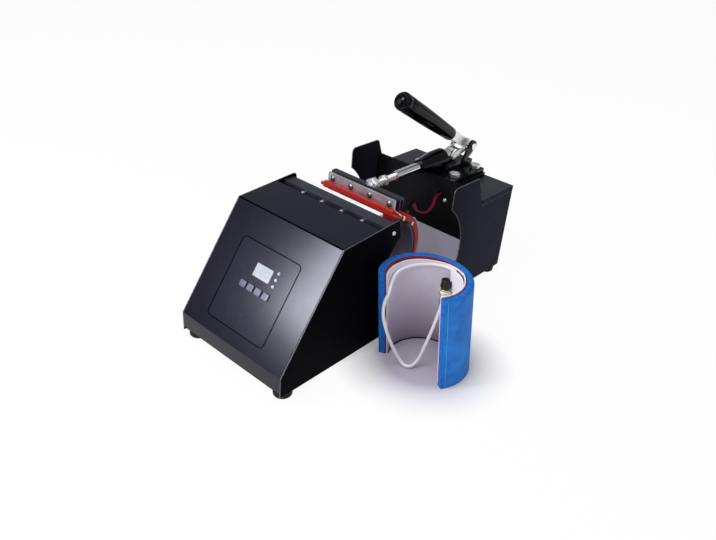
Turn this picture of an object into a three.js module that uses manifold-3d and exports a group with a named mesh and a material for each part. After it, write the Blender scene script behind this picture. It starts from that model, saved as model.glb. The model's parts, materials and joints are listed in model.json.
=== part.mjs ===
// A bench heat press for mugs, in millimetres: X runs across the machine, Y from the control panel at
// the front to the deck at the rear, and Z up. A notched housing holds a round heated wrap, a push-pull
// toggle clamp on the deck closes the wrap, and a second wrap stands loose on the right.
import * as THREE from "three";
import { mergeVertices } from "three/addons/utils/BufferGeometryUtils.js";
import Module from "manifold-3d";

const wasm = await Module();
wasm.setup();

// Common sizes
const seatGap = 0.3; // between pieces that rest on, fit in or line up with each other
const sheet = 1.5; // thickness of the housing's steel sheet
const overrun = 1; // how far a cutter passes the faces that it cuts

// Housing profile, seen from the side: Y from the front lip, Z from the lower edge of the side plates
const machineWidth = 170;
const lipHeight = 25.3;
const panelTopY = 87.4;
const panelTopZ = 149.6;
const casingTopDepth = 58.6;
const casingTopRise = 3.4;
const casingFoldDown = 12;
const casingFootZ = 5;
const earRise = 2; // above the casing
const earBehindBar = 5.2;
const earCorner = 6;
const earFootRun = 3.8;
const notchBehindWrap = 36.6;
const notchBelowWrap = 24;
const notchRadius = 81.6;
const notchFloorZ = 10;
const notchToRearEar = 49.4;
const rearEarDepth = 54;
const rearEarRise = 36; // above the deck
const rearEarSlopeRun = 17;
const deckFlangeHeight = 7;
const deckTopZ = 125;
const deckBehindPlate = 5;
const plateArcSteps = 14;

// Inner sheets
const baseZ = 2;
const baseLip = 12;
const bulkheadInset = 12;
const wallFootZ = 67;
const wallRise = 17.5; // above the deck

// Feet
const footRadius = 11;
const footHeight = 8.5;
const footSideInset = 11;
const footEndInset = 14;
const footRound = 2;
const footStudRadius = 5;

// Control panel, measured on the slope: across X, and up the slope from the lower fold
const fasciaWidth = 94;
const fasciaHeight = 99.6;
const fasciaX = -2.5;
const fasciaUp = 65.8;
const fasciaCorner = 5;
const fasciaGap = 0.5;
const fasciaRim = 3;
const fasciaPlate = 1.5;
const windowWidth = 26;
const windowHeight = 15.6;
const windowX = -0.6;
const windowUp = 88.2;
const windowRim = 2;
const windowRimPlate = 1;
const lampX = 20.7;
const lampUp = 88.4;
const lampPitch = 7.9;
const lampCount = 3;
const lampRadius = 1.6;
const lampRise = 0.4;
const buttonX = -0.5;
const buttonUp = 67.1;
const buttonPitch = 12.4;
const buttonCount = 4;
const buttonWidth = 9.4;
const buttonHeight = 8;
const buttonCorner = 1.6;
const buttonRise = 1.8;
const buttonFlange = 1.2;
const buttonFlangePlate = 1;
const buttonStemRadius = 1.6;
const buttonStem = 1.3;
const buttonTravel = 1;
const switchSide = 6;
const switchPlungerRadius = 1.7;
const switchPlunger = 0.8;
const boardPlate = 1.6;
const boardDepth = 11;
const boardMargin = 4;
const postRadius = 3;
const postInset = 6;

// Clamp axis and wrap
const clampAboveDeck = 28;
const wrapBelowClamp = 61;
const wrapBehindBar = 23;
const wrapInnerRadius = 42;
const wrapWidth = 126;
const linerThickness = 2.5;
const backingThickness = 9.2;
const matEndThickness = 4.5;
const wrapSteps = 24;
const matEndLap = 1.5; // of the mat end into the round part
const linerEndInset = 0.035; // radians that the liner stops short of the mat end

// Fixed jaw
const studSlot = 12; // between the casing and the jaw bar
const fixedBarDepth = 17;
const fixedBarHeight = 14;
const fixedJawAboveBore = 3;
const barSheet = 2;
const jawStripThickness = 2.2;
const fixedStripWidth = 114;
const fixedScrewDrop = 5;
const fixedScrewInset = 9;
const studReach = 7.5;
const screwRadius = 2.5;
const domeRadius = 4.2;
const domeHeight = 2.5;
const domeShares = [
  [1, 0],
  [0.8, 0.55],
  [0.4, 0.88],
  [0, 1],
]; // of the dome's height and radius
const jawScrewCount = 4;

// Moving jaw
const movingStripBehindWrap = 12;
const movingJawAboveBore = 7;
const movingBarHeight = 15.2;
const movingStripThickness = 2.7;
const movingStripWidth = 108;
const movingJawX = -3.3;
const movingScrewInset = 7.8;
const movingScrewDrop = 6.4;
const movingBarMargin = 2; // past each end of its strip
const movingBarDepth = 8;

// Rod, spindle and barrel
const spindleRadius = 4;
const spindleHeadAcross = 10;
const rodRadius = 6;
const rodBehindNut = 24;
const rodBoreDepth = 18;
const spindleTailGap = 2;
const frontNutAcross = 17;
const frontNutThickness = 7;
const nutSpacing = 22.2; // from the moving bar to the rear nut
const rearNutThickness = 5;
const rearNutAcross = 13;
const toggleReach = 37; // from the base pivot to the plunger pin, along Y
const rodEndRadius = 5;
const rodTongueHalfThickness = 5.5;
const rodTongueLength = 8;
const barrelTaper = 29;
const barrelStraight = 21;
const barrelBehindFlange = 19;
const barrelNoseRadius = 9;
const barrelRadius = 13.3;
const runningGap = 0.35; // between the rod and its barrel, and between a pin and the piece that turns on it

// Clamp base
const mountPlateHalfWidth = 41;
const mountPlateBehindWall = 3.8;
const mountPlateDepth = 83.2;
const mountPlateThickness = 5.7;
const flangeHalfWidth = 38;
const flangeInset = 10.2;
const flangeThickness = 5;
const boltX = 29;
const boltFrontInset = 13.5;
const boltRearInset = 10;
const boltRadius = 4;
const boltHeadAcross = 13;
const boltHeadHeight = 5.3;
const boltTail = 4;
const pedestalDrop = 11; // of its top below the clamp axis
const armClearance = 0.5;
const armThickness = 4;
const armFootRun = 27;
const armShoulderRun = 17;
const armShoulderDrop = 13.6;
const armHeelRun = 3;
const armRoundFrom = -20; // degrees
const armRoundTo = 149.4;
const pivotRise = 7.6; // of the base pivot above the clamp axis
const bossRadius = 8.5;
const pivotPinRadius = 2.4;
const pivotHeadRadius = 5;
const pivotHeadHeight = 1.6;

// Lever, links and grip
const leverHalfThickness = 5.8;
const leverEyeRadius = 8.5;
const leverCrank = 12;
const leverLobeRadius = 4.4;
const leverHalfHeight = 6.5;
const linkThickness = 3;
const linkEndRadius = 4.4;
const linkPinRadius = 2.4;
const rivetRadius = 3.4;
const rivetHeight = 1.2;
const leverAngle = 149.6; // degrees from +Y towards +Z, in the locked position
const leverLength = 46; // from the base pivot to the grip
const gripLength = 134;
const gripTang = 40;
const gripTangHalfHeight = 4;
const gripTangHalfWidth = 3;
const gripShankRadius = 9.3;
const gripEndRadius = 12;
const gripDish = 2;
const gripFlareShare = 0.96; // of the grip's growth that is done before its end bead
const gripBellyShare = 0.74; // of the grip's growth that is done at its middle

// Rear panel fittings
const moduleX = -45;
const moduleZ = 55;
const moduleHalfWidth = 15;
const moduleHalfHeight = 29;
const moduleFlange = 2.5;
const moduleBodyInset = 1.4;
const moduleBodyDepth = 25;
const socketZ = 41.5;
const socketHalfWidth = 12.2;
const socketHalfHeight = 8.2;
const socketCorner = 4;
const socketDepth = 17;
const bladeWidth = 2;
const bladeHeight = 4.6;
const bladeLength = 15;
const bladePitch = 7;
const bladeDrop = 3.2;
const rockerZ = 68;
const rockerHalfWidth = 6.5;
const rockerHalfHeight = 9.5;
const rockerFaceRise = 2;
const rockerSideDrop = 5;
const rockerRootHalfHeight = 4.5;
const rockerRootDrop = 8;
const rockerPivotDrop = 4.5;
const rockerSwing = 8;
const rockerPocketMargin = 1.4;
const rockerPocketDepth = 14;
const rockerPinRadius = 1.2;
const rockerPinLength = 1.8;
const supplyHalfWidth = 32;
const supplyDepth = 44;
const supplyInset = 34;
const supplyHeight = 34;
const terminalHeight = 14;
const terminalDepth = 12;

// Twin lead from the wrap to the rear wall
const leadWireRadius = 1;
const leadSteps = 28;
const leadHoleX = 28.5;
const leadHoleDrop = 5.8; // below the deck
const leadHoleRadius = 4.5;

// Loose spare wrap, a C on its lower edge that leans to the front and a little to the left
const spareX = 143.65;
const spareY = 177.5;
const spareHeight = 122.4;
const spareOuterRadius = 54.4;
const spareFoam = 8.2;
const spareLiner = 2;
const spareLeanX = -3;
const spareLeanY = -16;
const spareTopShare = 0.974;
const spareEndAngle = 212.5;
const spareStartAngle = -32;
const spareSteps = 21;
const spareWireRadius = 2;
const spareWireSteps = 60;
const plugRadius = 7.8;
const plugCollarRadius = 6.6;
const plugLength = 30;
const plugRimLength = 7;
const plugCollarLength = 9;
const plugTailRadius = 4.5;
const plugTailLength = 5;
const plugBowl = 5;
const plugBowlWall = 1.6;

// What the sizes above set
const casingRearY = panelTopY + casingTopDepth;
const casingRearZ = panelTopZ + casingTopRise;
const bulkheadY = casingRearY - bulkheadInset;
const fixedBarFrontY = casingRearY + studSlot;
const fixedBarRearY = fixedBarFrontY + fixedBarDepth;
const fixedStudFrontY = fixedBarFrontY - studReach;
const earTopZ = casingRearZ + earRise;
const earRearY = fixedBarRearY + earBehindBar;
const earFootY = earRearY + earFootRun;
const clampZ = deckTopZ + clampAboveDeck;
const wrapY = fixedBarRearY + wrapBehindBar;
const wrapZ = clampZ - wrapBelowClamp;
const boreTopZ = wrapZ + wrapInnerRadius;
const jawFootZ = boreTopZ + fixedJawAboveBore;
const fixedTopZ = jawFootZ + fixedBarHeight;
const fixedScrewZ = fixedTopZ - fixedScrewDrop;
const notchY = wrapY + notchBehindWrap;
const notchZ = wrapZ - notchBelowWrap;
const rearEarFrontY = notchY + notchToRearEar;
const rearEarRearY = rearEarFrontY + rearEarDepth;
const rearEarTopZ = deckTopZ + rearEarRise;
const deckEdgeY = rearEarRearY + rearEarSlopeRun;
const deckEdgeZ = deckTopZ - deckFlangeHeight;
const wallTopZ = deckTopZ + wallRise;
const leadHoleZ = deckTopZ - leadHoleDrop;
const mountPlateFrontY = rearEarRearY + mountPlateBehindWall;
const mountPlateRearY = mountPlateFrontY + mountPlateDepth;
const machineDepth = mountPlateRearY + deckBehindPlate;
const flangeFrontY = mountPlateFrontY + flangeInset;
const boltFrontY = flangeFrontY + boltFrontInset;
const boltRearY = mountPlateRearY - boltRearInset;
const barrelRearY = flangeFrontY + barrelBehindFlange;
const barrelShoulderY = barrelRearY - barrelStraight;
const barrelNoseY = barrelShoulderY - barrelTaper;
const basePivotY = mountPlateRearY;
const basePivotZ = clampZ + pivotRise;
const plungerPinY = basePivotY - toggleReach;
const pedestalTopZ = clampZ - pedestalDrop;
const armFootY = basePivotY - armFootRun;
const armShoulderY = basePivotY - armShoulderRun;
const armShoulderZ = basePivotZ - armShoulderDrop;
const armHeelY = basePivotY + armHeelRun;
const supplyRearY = machineDepth - supplyInset;
const supplyFrontY = supplyRearY - supplyDepth;
const movingFootZ = boreTopZ + movingJawAboveBore;
const movingTopZ = movingFootZ + movingBarHeight;
const movingScrewZ = movingTopZ - movingScrewDrop;
const movingStripFrontY = wrapY + movingStripBehindWrap;
const plateOuterX = machineWidth / 2;
const plateInnerX = plateOuterX - sheet;
const innerX = plateInnerX - seatGap;
const panelAngle = Math.atan2(panelTopZ - lipHeight, panelTopY);
const baseTopZ = baseZ + sheet;
const mountPlateZ = deckTopZ + seatGap;
const flangeZ = mountPlateZ + mountPlateThickness + seatGap;
const boltHeadZ = flangeZ + flangeThickness + seatGap;
const deckFlangeZ = deckEdgeZ + seatGap;
const fixedMatY = fixedBarRearY + seatGap;
const fixedStripFrontY = fixedMatY + matEndThickness + seatGap;
const fixedStripRearY = fixedStripFrontY + jawStripThickness;
const movingMatY = movingStripFrontY + movingStripThickness + seatGap;
const movingBarY = movingMatY + matEndThickness + seatGap;
const movingBarRearY = movingBarY + movingBarDepth;
const rearNutY = movingBarRearY + nutSpacing;
const rodFrontY = rearNutY + rodBehindNut;
const crankAngle = Math.atan2(clampZ - basePivotZ, plungerPinY - basePivotY);
const pinDistance = Math.hypot(basePivotY - plungerPinY, basePivotZ - clampZ);
const linkLength = pinDistance - leverCrank;
const linkInnerX = leverHalfThickness + seatGap;
const linkOuterX = linkInnerX + linkThickness;
const pinHeadFoot = linkOuterX + seatGap;
const armInnerX = pinHeadFoot + rivetHeight + armClearance;
const armOuterX = armInnerX + armThickness;

// Materials
const material = (color, roughness, metalness) =>
  new THREE.MeshStandardMaterial({ color, roughness, metalness });
const casingGrey = material(0x777887, 0.45, 0.3);
const plateBlack = material(0x0d0d10, 0.4, 0.3);
const fasciaGrey = material(0x3a3a48, 0.35, 0.1);
const clearWindow = material(0xced1d8, 0.2, 0);
const boardGreen = material(0x1f5a3a, 0.7, 0);
const buttonGrey = material(0x9a9aa8, 0.4, 0);
const brightSteel = material(0xc9cacf, 0.25, 1);
const stripAlloy = material(0x8f868c, 0.35, 0.9);
const wrapRed = material(0x83110f, 0.55, 0);
const linerWhite = material(0xb9b1bb, 0.6, 0);
const wrapBlue = material(0x216ac6, 0.6, 0);
const blackRubber = material(0x060608, 0.5, 0);
const blackPlastic = material(0x101014, 0.45, 0);
const leadRed = material(0x7a1414, 0.5, 0);
const leadWhite = material(0xe4e4e8, 0.5, 0);

// Solids: joining and cutting
function solidOf(geometry) {
  const bare = geometry.clone();
  bare.deleteAttribute("normal");
  bare.deleteAttribute("uv");
  const merged = mergeVertices(bare);
  return new wasm.Manifold(
    new wasm.Mesh({
      numProp: 3,
      vertProperties: merged.attributes.position.array,
      triVerts: new Uint32Array(merged.index.array),
    }),
  );
}

function geometryOf(solid) {
  const mesh = solid.getMesh();
  const geometry = new THREE.BufferGeometry();
  geometry.setAttribute("position", new THREE.BufferAttribute(mesh.vertProperties.slice(), mesh.numProp));
  geometry.setIndex(new THREE.BufferAttribute(mesh.triVerts.slice(), 1));
  geometry.computeVertexNormals();
  return geometry;
}

function joined(...pieces) {
  return geometryOf(pieces.map(solidOf).reduce((whole, piece) => whole.add(piece)));
}

function cut(piece, ...cutters) {
  return geometryOf(cutters.map(solidOf).reduce((whole, cutter) => whole.subtract(cutter), solidOf(piece)));
}

// Simple shapes
function block(x0, x1, y0, y1, z0, z1) {
  return new THREE.BoxGeometry(x1 - x0, y1 - y0, z1 - z0).translate((x0 + x1) / 2, (y0 + y1) / 2, (z0 + z1) / 2);
}

// A round bar along an axis; across and up are its place on the other two axes, in X, Y, Z order
function bar(axis, radius, from, to, across, up, sides = 20) {
  const geometry = new THREE.CylinderGeometry(radius, radius, to - from, sides);
  const middle = (from + to) / 2;
  if (axis === "x") return geometry.rotateZ(-Math.PI / 2).translate(middle, across, up);
  if (axis === "y") return geometry.translate(across, middle, up);
  return geometry.rotateX(Math.PI / 2).translate(across, up, middle);
}

function hexagon(axis, acrossFlats, from, to, across, up) {
  return bar(axis, acrossFlats / 2 / Math.cos(Math.PI / 6), from, to, across, up, 6);
}

// A turned body on the Y axis, from points [place along Y, radius]
function turned(points, across, up, sides = 24) {
  const profile = points.map(([along, radius]) => new THREE.Vector2(radius, along));
  return new THREE.LatheGeometry(profile, sides).translate(across, 0, up);
}

// The turned body stood on end, along Z
function turnedUp(points, across, along, sides = 24) {
  return turned(points, 0, 0, sides).rotateX(Math.PI / 2).translate(across, along, 0);
}

function shapeOf(points) {
  return new THREE.Shape(points.map(([a, b]) => new THREE.Vector2(a, b)));
}

// A (Y, Z) outline drawn out along X
function acrossX(shape, x0, x1, curveSegments = 12) {
  const geometry = new THREE.ExtrudeGeometry(shape, { depth: x1 - x0, bevelEnabled: false, curveSegments });
  const axes = new THREE.Matrix4().makeBasis(
    new THREE.Vector3(0, 1, 0),
    new THREE.Vector3(0, 0, 1),
    new THREE.Vector3(1, 0, 0),
  );
  return geometry.applyMatrix4(axes).translate(x0, 0, 0);
}

// An (X, Y) outline drawn out along Z
function upwards(shape, z0, z1, curveSegments = 6) {
  return new THREE.ExtrudeGeometry(shape, { depth: z1 - z0, bevelEnabled: false, curveSegments }).translate(0, 0, z0);
}

// A folded sheet: points on its outer face, with the thickness to the right of their direction
function foldedSheet(points, thickness) {
  const inner = points.map((point, i) => {
    const before = points[Math.max(i - 1, 0)];
    const after = points[Math.min(i + 1, points.length - 1)];
    const into = i > 0 ? rightOf(before, point) : rightOf(point, after);
    const out = i < points.length - 1 ? rightOf(point, after) : into;
    const spread = 1 + into[0] * out[0] + into[1] * out[1];
    const reach = thickness / spread;
    return [point[0] + (into[0] + out[0]) * reach, point[1] + (into[1] + out[1]) * reach];
  });
  return shapeOf([...points, ...inner.reverse()]);
}

function rightOf(from, to) {
  const length = Math.hypot(to[0] - from[0], to[1] - from[1]);
  return [(to[1] - from[1]) / length, (from[0] - to[0]) / length];
}

function roundedRectangle(x, y, width, height, corner) {
  const left = x - width / 2;
  const right = x + width / 2;
  const low = y - height / 2;
  const high = y + height / 2;
  const shape = new THREE.Shape();
  shape.moveTo(left + corner, low);
  shape.lineTo(right - corner, low);
  shape.absarc(right - corner, low + corner, corner, -Math.PI / 2, 0, false);
  shape.lineTo(right, high - corner);
  shape.absarc(right - corner, high - corner, corner, 0, Math.PI / 2, false);
  shape.lineTo(left + corner, high);
  shape.absarc(left + corner, high - corner, corner, Math.PI / 2, Math.PI, false);
  shape.lineTo(left, low + corner);
  shape.absarc(left + corner, low + corner, corner, Math.PI, Math.PI * 1.5, false);
  return shape;
}

// A flat bar with round ends between two points of the (Y, Z) plane
function roundEnded(fromY, fromZ, toY, toZ, radius, endRadius = radius) {
  const angle = Math.atan2(toZ - fromZ, toY - fromY);
  const lean = Math.asin((radius - endRadius) / Math.hypot(toZ - fromZ, toY - fromY));
  const shape = new THREE.Shape();
  shape.absarc(fromY, fromZ, radius, angle + Math.PI / 2 - lean, angle - Math.PI / 2 + lean, false);
  shape.absarc(toY, toZ, endRadius, angle - Math.PI / 2 + lean, angle + Math.PI / 2 - lean, false);
  return shape;
}

function centred(count, pitch) {
  return Array.from({ length: count }, (_, i) => (i - (count - 1) / 2) * pitch);
}

// Scene graph
const press = new THREE.Group();
const machine = new THREE.Group();
press.add(machine);

function add(parent, name, geometry, look) {
  const mesh = new THREE.Mesh(geometry, look);
  mesh.name = name;
  parent.add(mesh);
  return mesh;
}

// Side plates
function sidePlateOutline() {
  const fromNotch = (y, z) => Math.atan2(z - notchZ, y - notchY);
  const earFootAngle = Math.acos((earFootY - notchY) / notchRadius);
  const rearFootAngle = Math.acos((rearEarFrontY - notchY) / notchRadius);
  const floorReach = Math.sqrt(notchRadius ** 2 - (notchZ - notchFloorZ) ** 2);
  const floorFrontAngle = fromNotch(notchY - floorReach, notchFloorZ);
  const floorRearAngle = fromNotch(notchY + floorReach, notchFloorZ);
  const shape = new THREE.Shape();
  shape.moveTo(0, 0);
  shape.lineTo(0, lipHeight);
  shape.lineTo(panelTopY, panelTopZ);
  shape.lineTo(earRearY - earCorner, earTopZ);
  shape.quadraticCurveTo(earRearY, earTopZ, earRearY, earTopZ - earCorner);
  shape.absarc(notchY, notchZ, notchRadius, earFootAngle, floorFrontAngle + 2 * Math.PI, false);
  shape.absarc(notchY, notchZ, notchRadius, floorRearAngle, rearFootAngle, false);
  shape.lineTo(rearEarFrontY, rearEarTopZ);
  shape.lineTo(rearEarRearY, rearEarTopZ);
  shape.lineTo(deckEdgeY, deckEdgeZ);
  shape.lineTo(machineDepth, deckEdgeZ);
  shape.lineTo(machineDepth, 0);
  return shape;
}
add(machine, "left_side_plate", acrossX(sidePlateOutline(), -plateOuterX, -plateInnerX, plateArcSteps), plateBlack);
add(machine, "right_side_plate", acrossX(sidePlateOutline(), plateInnerX, plateOuterX, plateArcSteps), plateBlack);

// Front casing with the aperture for the fascia
const panelPlace = new THREE.Matrix4().makeRotationX(panelAngle).setPosition(0, 0, lipHeight);
function frontCasing() {
  const outer = [
    [0, casingFootZ],
    [0, lipHeight],
    [panelTopY, panelTopZ],
    [casingRearY, casingRearZ],
    [casingRearY, casingRearZ - casingFoldDown],
  ];
  const apertureWidth = fasciaWidth + 2 * fasciaGap;
  const apertureHeight = fasciaHeight + 2 * fasciaGap;
  const aperture = roundedRectangle(fasciaX, fasciaUp, apertureWidth, apertureHeight, fasciaCorner + fasciaGap);
  return cut(
    acrossX(foldedSheet(outer, sheet), -innerX, innerX),
    upwards(aperture, -sheet - overrun, overrun).applyMatrix4(panelPlace),
  );
}
add(machine, "front_casing", frontCasing(), casingGrey);

// Inner sheets
const baseFrontY = sheet + seatGap;
const baseRearY = machineDepth - sheet - seatGap;
const baseOuter = [
  [baseRearY, baseZ + baseLip],
  [baseRearY, baseZ],
  [baseFrontY, baseZ],
  [baseFrontY, baseZ + baseLip],
];
add(machine, "base_plate", acrossX(foldedSheet(baseOuter, sheet), -innerX, innerX), plateBlack);

const casingTopSlope = (casingRearZ - panelTopZ) / (casingRearY - panelTopY);
const bulkheadTopZ = panelTopZ + (bulkheadY - panelTopY) * casingTopSlope - sheet - seatGap;
add(
  machine,
  "front_bulkhead",
  block(-innerX, innerX, bulkheadY, bulkheadY + sheet, baseTopZ + seatGap, bulkheadTopZ),
  plateBlack,
);

const slopeFootZ = baseTopZ + seatGap + sheet * Math.SQRT1_2;
const slopeTopZ = wallFootZ - seatGap;
const slopeTopY = rearEarRearY - seatGap;
const slopeOuter = [
  [slopeTopY - (slopeTopZ - slopeFootZ), slopeFootZ],
  [slopeTopY, slopeTopZ],
];
add(machine, "rear_slope", acrossX(foldedSheet(slopeOuter, sheet), -innerX, innerX), plateBlack);

const wallY = rearEarRearY;
function rearWall() {
  const barrelAtWall =
    barrelNoseRadius +
    ((barrelRadius - barrelNoseRadius) * (wallY + sheet - barrelNoseY)) / (barrelShoulderY - barrelNoseY);
  return cut(
    block(-innerX, innerX, wallY, wallY + sheet, wallFootZ, wallTopZ),
    bar("y", barrelAtWall + 2 * seatGap, wallY - overrun, wallY + sheet + overrun, 0, clampZ),
    bar("y", leadHoleRadius, wallY - overrun, wallY + sheet + overrun, leadHoleX, leadHoleZ),
  );
}
add(machine, "rear_wall", rearWall(), plateBlack);

// Deck, a cover whose sides stand on the side plates
const wallRearY = wallY + sheet;
const deckWideY = deckEdgeY + seatGap;
function boltPlaces() {
  return [boltFrontY, boltRearY].flatMap((y) => [-boltX, boltX].map((x) => [x, y]));
}
function rearDeck() {
  const underside = deckTopZ - sheet;
  return cut(
    joined(
      block(-innerX, innerX, wallRearY + seatGap, deckWideY + overrun, underside, deckTopZ),
      block(-plateOuterX, plateOuterX, deckWideY, machineDepth, underside, deckTopZ),
      block(-plateOuterX, -plateInnerX, deckWideY, machineDepth, deckFlangeZ, deckTopZ),
      block(plateInnerX, plateOuterX, deckWideY, machineDepth, deckFlangeZ, deckTopZ),
      block(-plateOuterX, plateOuterX, machineDepth - sheet, machineDepth, deckFlangeZ, deckTopZ),
    ),
    ...boltPlaces().map(([x, y]) =>
      bar("z", boltRadius + seatGap, underside - overrun, deckTopZ + overrun, x, y),
    ),
  );
}
add(machine, "rear_deck", rearDeck(), plateBlack);

// Rear panel and the power entry in it
const moduleCutX = moduleHalfWidth - moduleBodyInset;
const moduleCutZ = moduleHalfHeight - moduleBodyInset;
const panelRearY = machineDepth;
add(
  machine,
  "rear_panel",
  cut(
    block(-innerX, innerX, panelRearY - sheet, panelRearY, baseZ, deckFlangeZ - seatGap),
    block(
      moduleX - moduleCutX - seatGap,
      moduleX + moduleCutX + seatGap,
      panelRearY - sheet - overrun,
      panelRearY + overrun,
      moduleZ - moduleCutZ - seatGap,
      moduleZ + moduleCutZ + seatGap,
    ),
  ),
  plateBlack,
);

const moduleFaceY = panelRearY + seatGap + moduleFlange;
const rockerPivotY = moduleFaceY - rockerPivotDrop;
function powerInlet() {
  const left = moduleX - moduleHalfWidth;
  const right = moduleX + moduleHalfWidth;
  const body = joined(
    block(left, right, panelRearY + seatGap, moduleFaceY, moduleZ - moduleHalfHeight, moduleZ + moduleHalfHeight),
    block(
      moduleX - moduleCutX,
      moduleX + moduleCutX,
      panelRearY - moduleBodyDepth,
      moduleFaceY - moduleFlange / 2,
      moduleZ - moduleCutZ,
      moduleZ + moduleCutZ,
    ),
  );
  const socket = shapeOf([
    [moduleX - socketHalfWidth, socketZ - socketHalfHeight],
    [moduleX + socketHalfWidth, socketZ - socketHalfHeight],
    [moduleX + socketHalfWidth, socketZ + socketHalfHeight - socketCorner],
    [moduleX + socketHalfWidth - socketCorner, socketZ + socketHalfHeight],
    [moduleX - socketHalfWidth + socketCorner, socketZ + socketHalfHeight],
    [moduleX - socketHalfWidth, socketZ + socketHalfHeight - socketCorner],
  ]);
  const socketHollow = upwards(socket, -overrun, socketDepth).rotateX(Math.PI / 2).translate(0, moduleFaceY, 0);
  const pocketX = rockerHalfWidth + seatGap;
  const pocketZ = rockerHalfHeight + rockerPocketMargin;
  const pocket = block(
    moduleX - pocketX,
    moduleX + pocketX,
    moduleFaceY - rockerPocketDepth,
    moduleFaceY + overrun,
    rockerZ - pocketZ,
    rockerZ + pocketZ,
  );
  const pinReach = rockerHalfWidth + rockerPinLength + seatGap;
  const pinHoles = bar(
    "x",
    rockerPinRadius + runningGap,
    moduleX - pinReach,
    moduleX + pinReach,
    rockerPivotY,
    rockerZ,
  );
  const blades = centred(3, bladePitch).map((x, i) =>
    block(
      moduleX + x - bladeWidth / 2,
      moduleX + x + bladeWidth / 2,
      moduleFaceY - socketDepth - overrun,
      moduleFaceY - socketDepth + bladeLength,
      socketZ - bladeHeight / 2 + (i === 1 ? bladeDrop : 0),
      socketZ + bladeHeight / 2 + (i === 1 ? bladeDrop : 0),
    ),
  );
  return joined(cut(body, socketHollow, pocket, pinHoles), ...blades);
}
add(machine, "power_inlet", powerInlet(), blackPlastic);

// Rocker, resting with its lower end pressed in
const rockerPlace = new THREE.Group();
rockerPlace.position.set(moduleX, rockerPivotY, rockerZ);
rockerPlace.rotation.x = -rockerSwing * THREE.MathUtils.DEG2RAD;
machine.add(rockerPlace);
function rocker() {
  const outline = shapeOf([
    [rockerPivotDrop, 0],
    [rockerPivotDrop + rockerFaceRise, rockerHalfHeight],
    [rockerPivotDrop - rockerSideDrop, rockerHalfHeight],
    [rockerPivotDrop - rockerRootDrop, rockerRootHalfHeight],
    [rockerPivotDrop - rockerRootDrop, -rockerRootHalfHeight],
    [rockerPivotDrop - rockerSideDrop, -rockerHalfHeight],
    [rockerPivotDrop + rockerFaceRise, -rockerHalfHeight],
  ]);
  const pinReach = rockerHalfWidth + rockerPinLength;
  return joined(
    acrossX(outline, -rockerHalfWidth, rockerHalfWidth),
    bar("x", rockerPinRadius, -pinReach, pinReach, 0, 0, 16),
  );
}
add(rockerPlace, "rocker_switch", rocker(), blackPlastic);

// Supply unit on the base, under the deck
add(
  machine,
  "power_module",
  joined(
    block(
      -supplyHalfWidth,
      supplyHalfWidth,
      supplyFrontY,
      supplyRearY,
      baseTopZ + seatGap,
      baseTopZ + seatGap + supplyHeight,
    ),
    block(
      -supplyHalfWidth,
      supplyHalfWidth,
      supplyFrontY - terminalDepth,
      supplyFrontY + overrun,
      baseTopZ + seatGap,
      baseTopZ + seatGap + terminalHeight,
    ),
  ),
  blackPlastic,
);

// Feet: a rounded rubber puck with a stud up to the base plate
const footX = plateOuterX - footSideInset;
const footStudTop = baseZ - seatGap;
function foot(x, y) {
  const points = [
    [-footHeight, 0],
    [-footHeight, footRadius - footRound],
    [-footHeight + footRound, footRadius],
    [-seatGap, footRadius],
    [-seatGap, footStudRadius],
    [footStudTop, footStudRadius],
    [footStudTop, 0],
  ];
  return turnedUp(points, x, y);
}
const footPlaces = [
  [-footX, footEndInset],
  [footX, footEndInset],
  [-footX, machineDepth - footEndInset],
  [footX, machineDepth - footEndInset],
];
footPlaces.forEach(([x, y], i) => add(machine, `foot_${i + 1}`, foot(x, y), blackRubber));

// Control panel, built flat and stood on the slope: X across, Y up the slope, Z out of it
const panel = new THREE.Group();
panel.position.set(0, 0, lipHeight);
panel.rotation.x = panelAngle;
machine.add(panel);

const fasciaRimFront = -sheet - seatGap;
const fasciaBack = fasciaRimFront - fasciaPlate;
const windowRimFront = fasciaBack - seatGap;
const windowBack = windowRimFront - windowRimPlate;
const boardTop = -boardDepth;
const lampPlaces = centred(lampCount, lampPitch).map((up) => [lampX, lampUp + up]);
const buttonPlaces = centred(buttonCount, buttonPitch).map((x) => [buttonX + x, buttonUp]);

function fascia() {
  const rimWidth = fasciaWidth + 2 * fasciaRim;
  const rimHeight = fasciaHeight + 2 * fasciaRim;
  const front = roundedRectangle(fasciaX, fasciaUp, fasciaWidth, fasciaHeight, fasciaCorner);
  const rim = roundedRectangle(fasciaX, fasciaUp, rimWidth, rimHeight, fasciaCorner);
  const low = fasciaBack - overrun;
  const high = overrun;
  const windowHole = roundedRectangle(
    windowX,
    windowUp,
    windowWidth + 2 * seatGap,
    windowHeight + 2 * seatGap,
    seatGap,
  );
  const holes = [upwards(windowHole, low, high)];
  for (const [x, up] of lampPlaces) holes.push(bar("z", lampRadius + seatGap, low, high, x, up, 16));
  for (const [x, up] of buttonPlaces) {
    const hole = roundedRectangle(
      x,
      up,
      buttonWidth + 2 * seatGap,
      buttonHeight + 2 * seatGap,
      buttonCorner + seatGap,
    );
    holes.push(upwards(hole, low, high, 4));
  }
  const plate = joined(upwards(front, fasciaRimFront - fasciaPlate / 2, 0), upwards(rim, fasciaBack, fasciaRimFront));
  return cut(plate, ...holes);
}
add(panel, "control_fascia", fascia(), fasciaGrey);

function displayWindow() {
  const rimX = windowWidth / 2 + windowRim;
  const rimUp = windowHeight / 2 + windowRim;
  return joined(
    block(
      windowX - windowWidth / 2,
      windowX + windowWidth / 2,
      windowUp - windowHeight / 2,
      windowUp + windowHeight / 2,
      windowBack + windowRimPlate / 2,
      0,
    ),
    block(windowX - rimX, windowX + rimX, windowUp - rimUp, windowUp + rimUp, windowBack, windowRimFront),
  );
}
add(panel, "display_window", displayWindow(), clearWindow);

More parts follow.
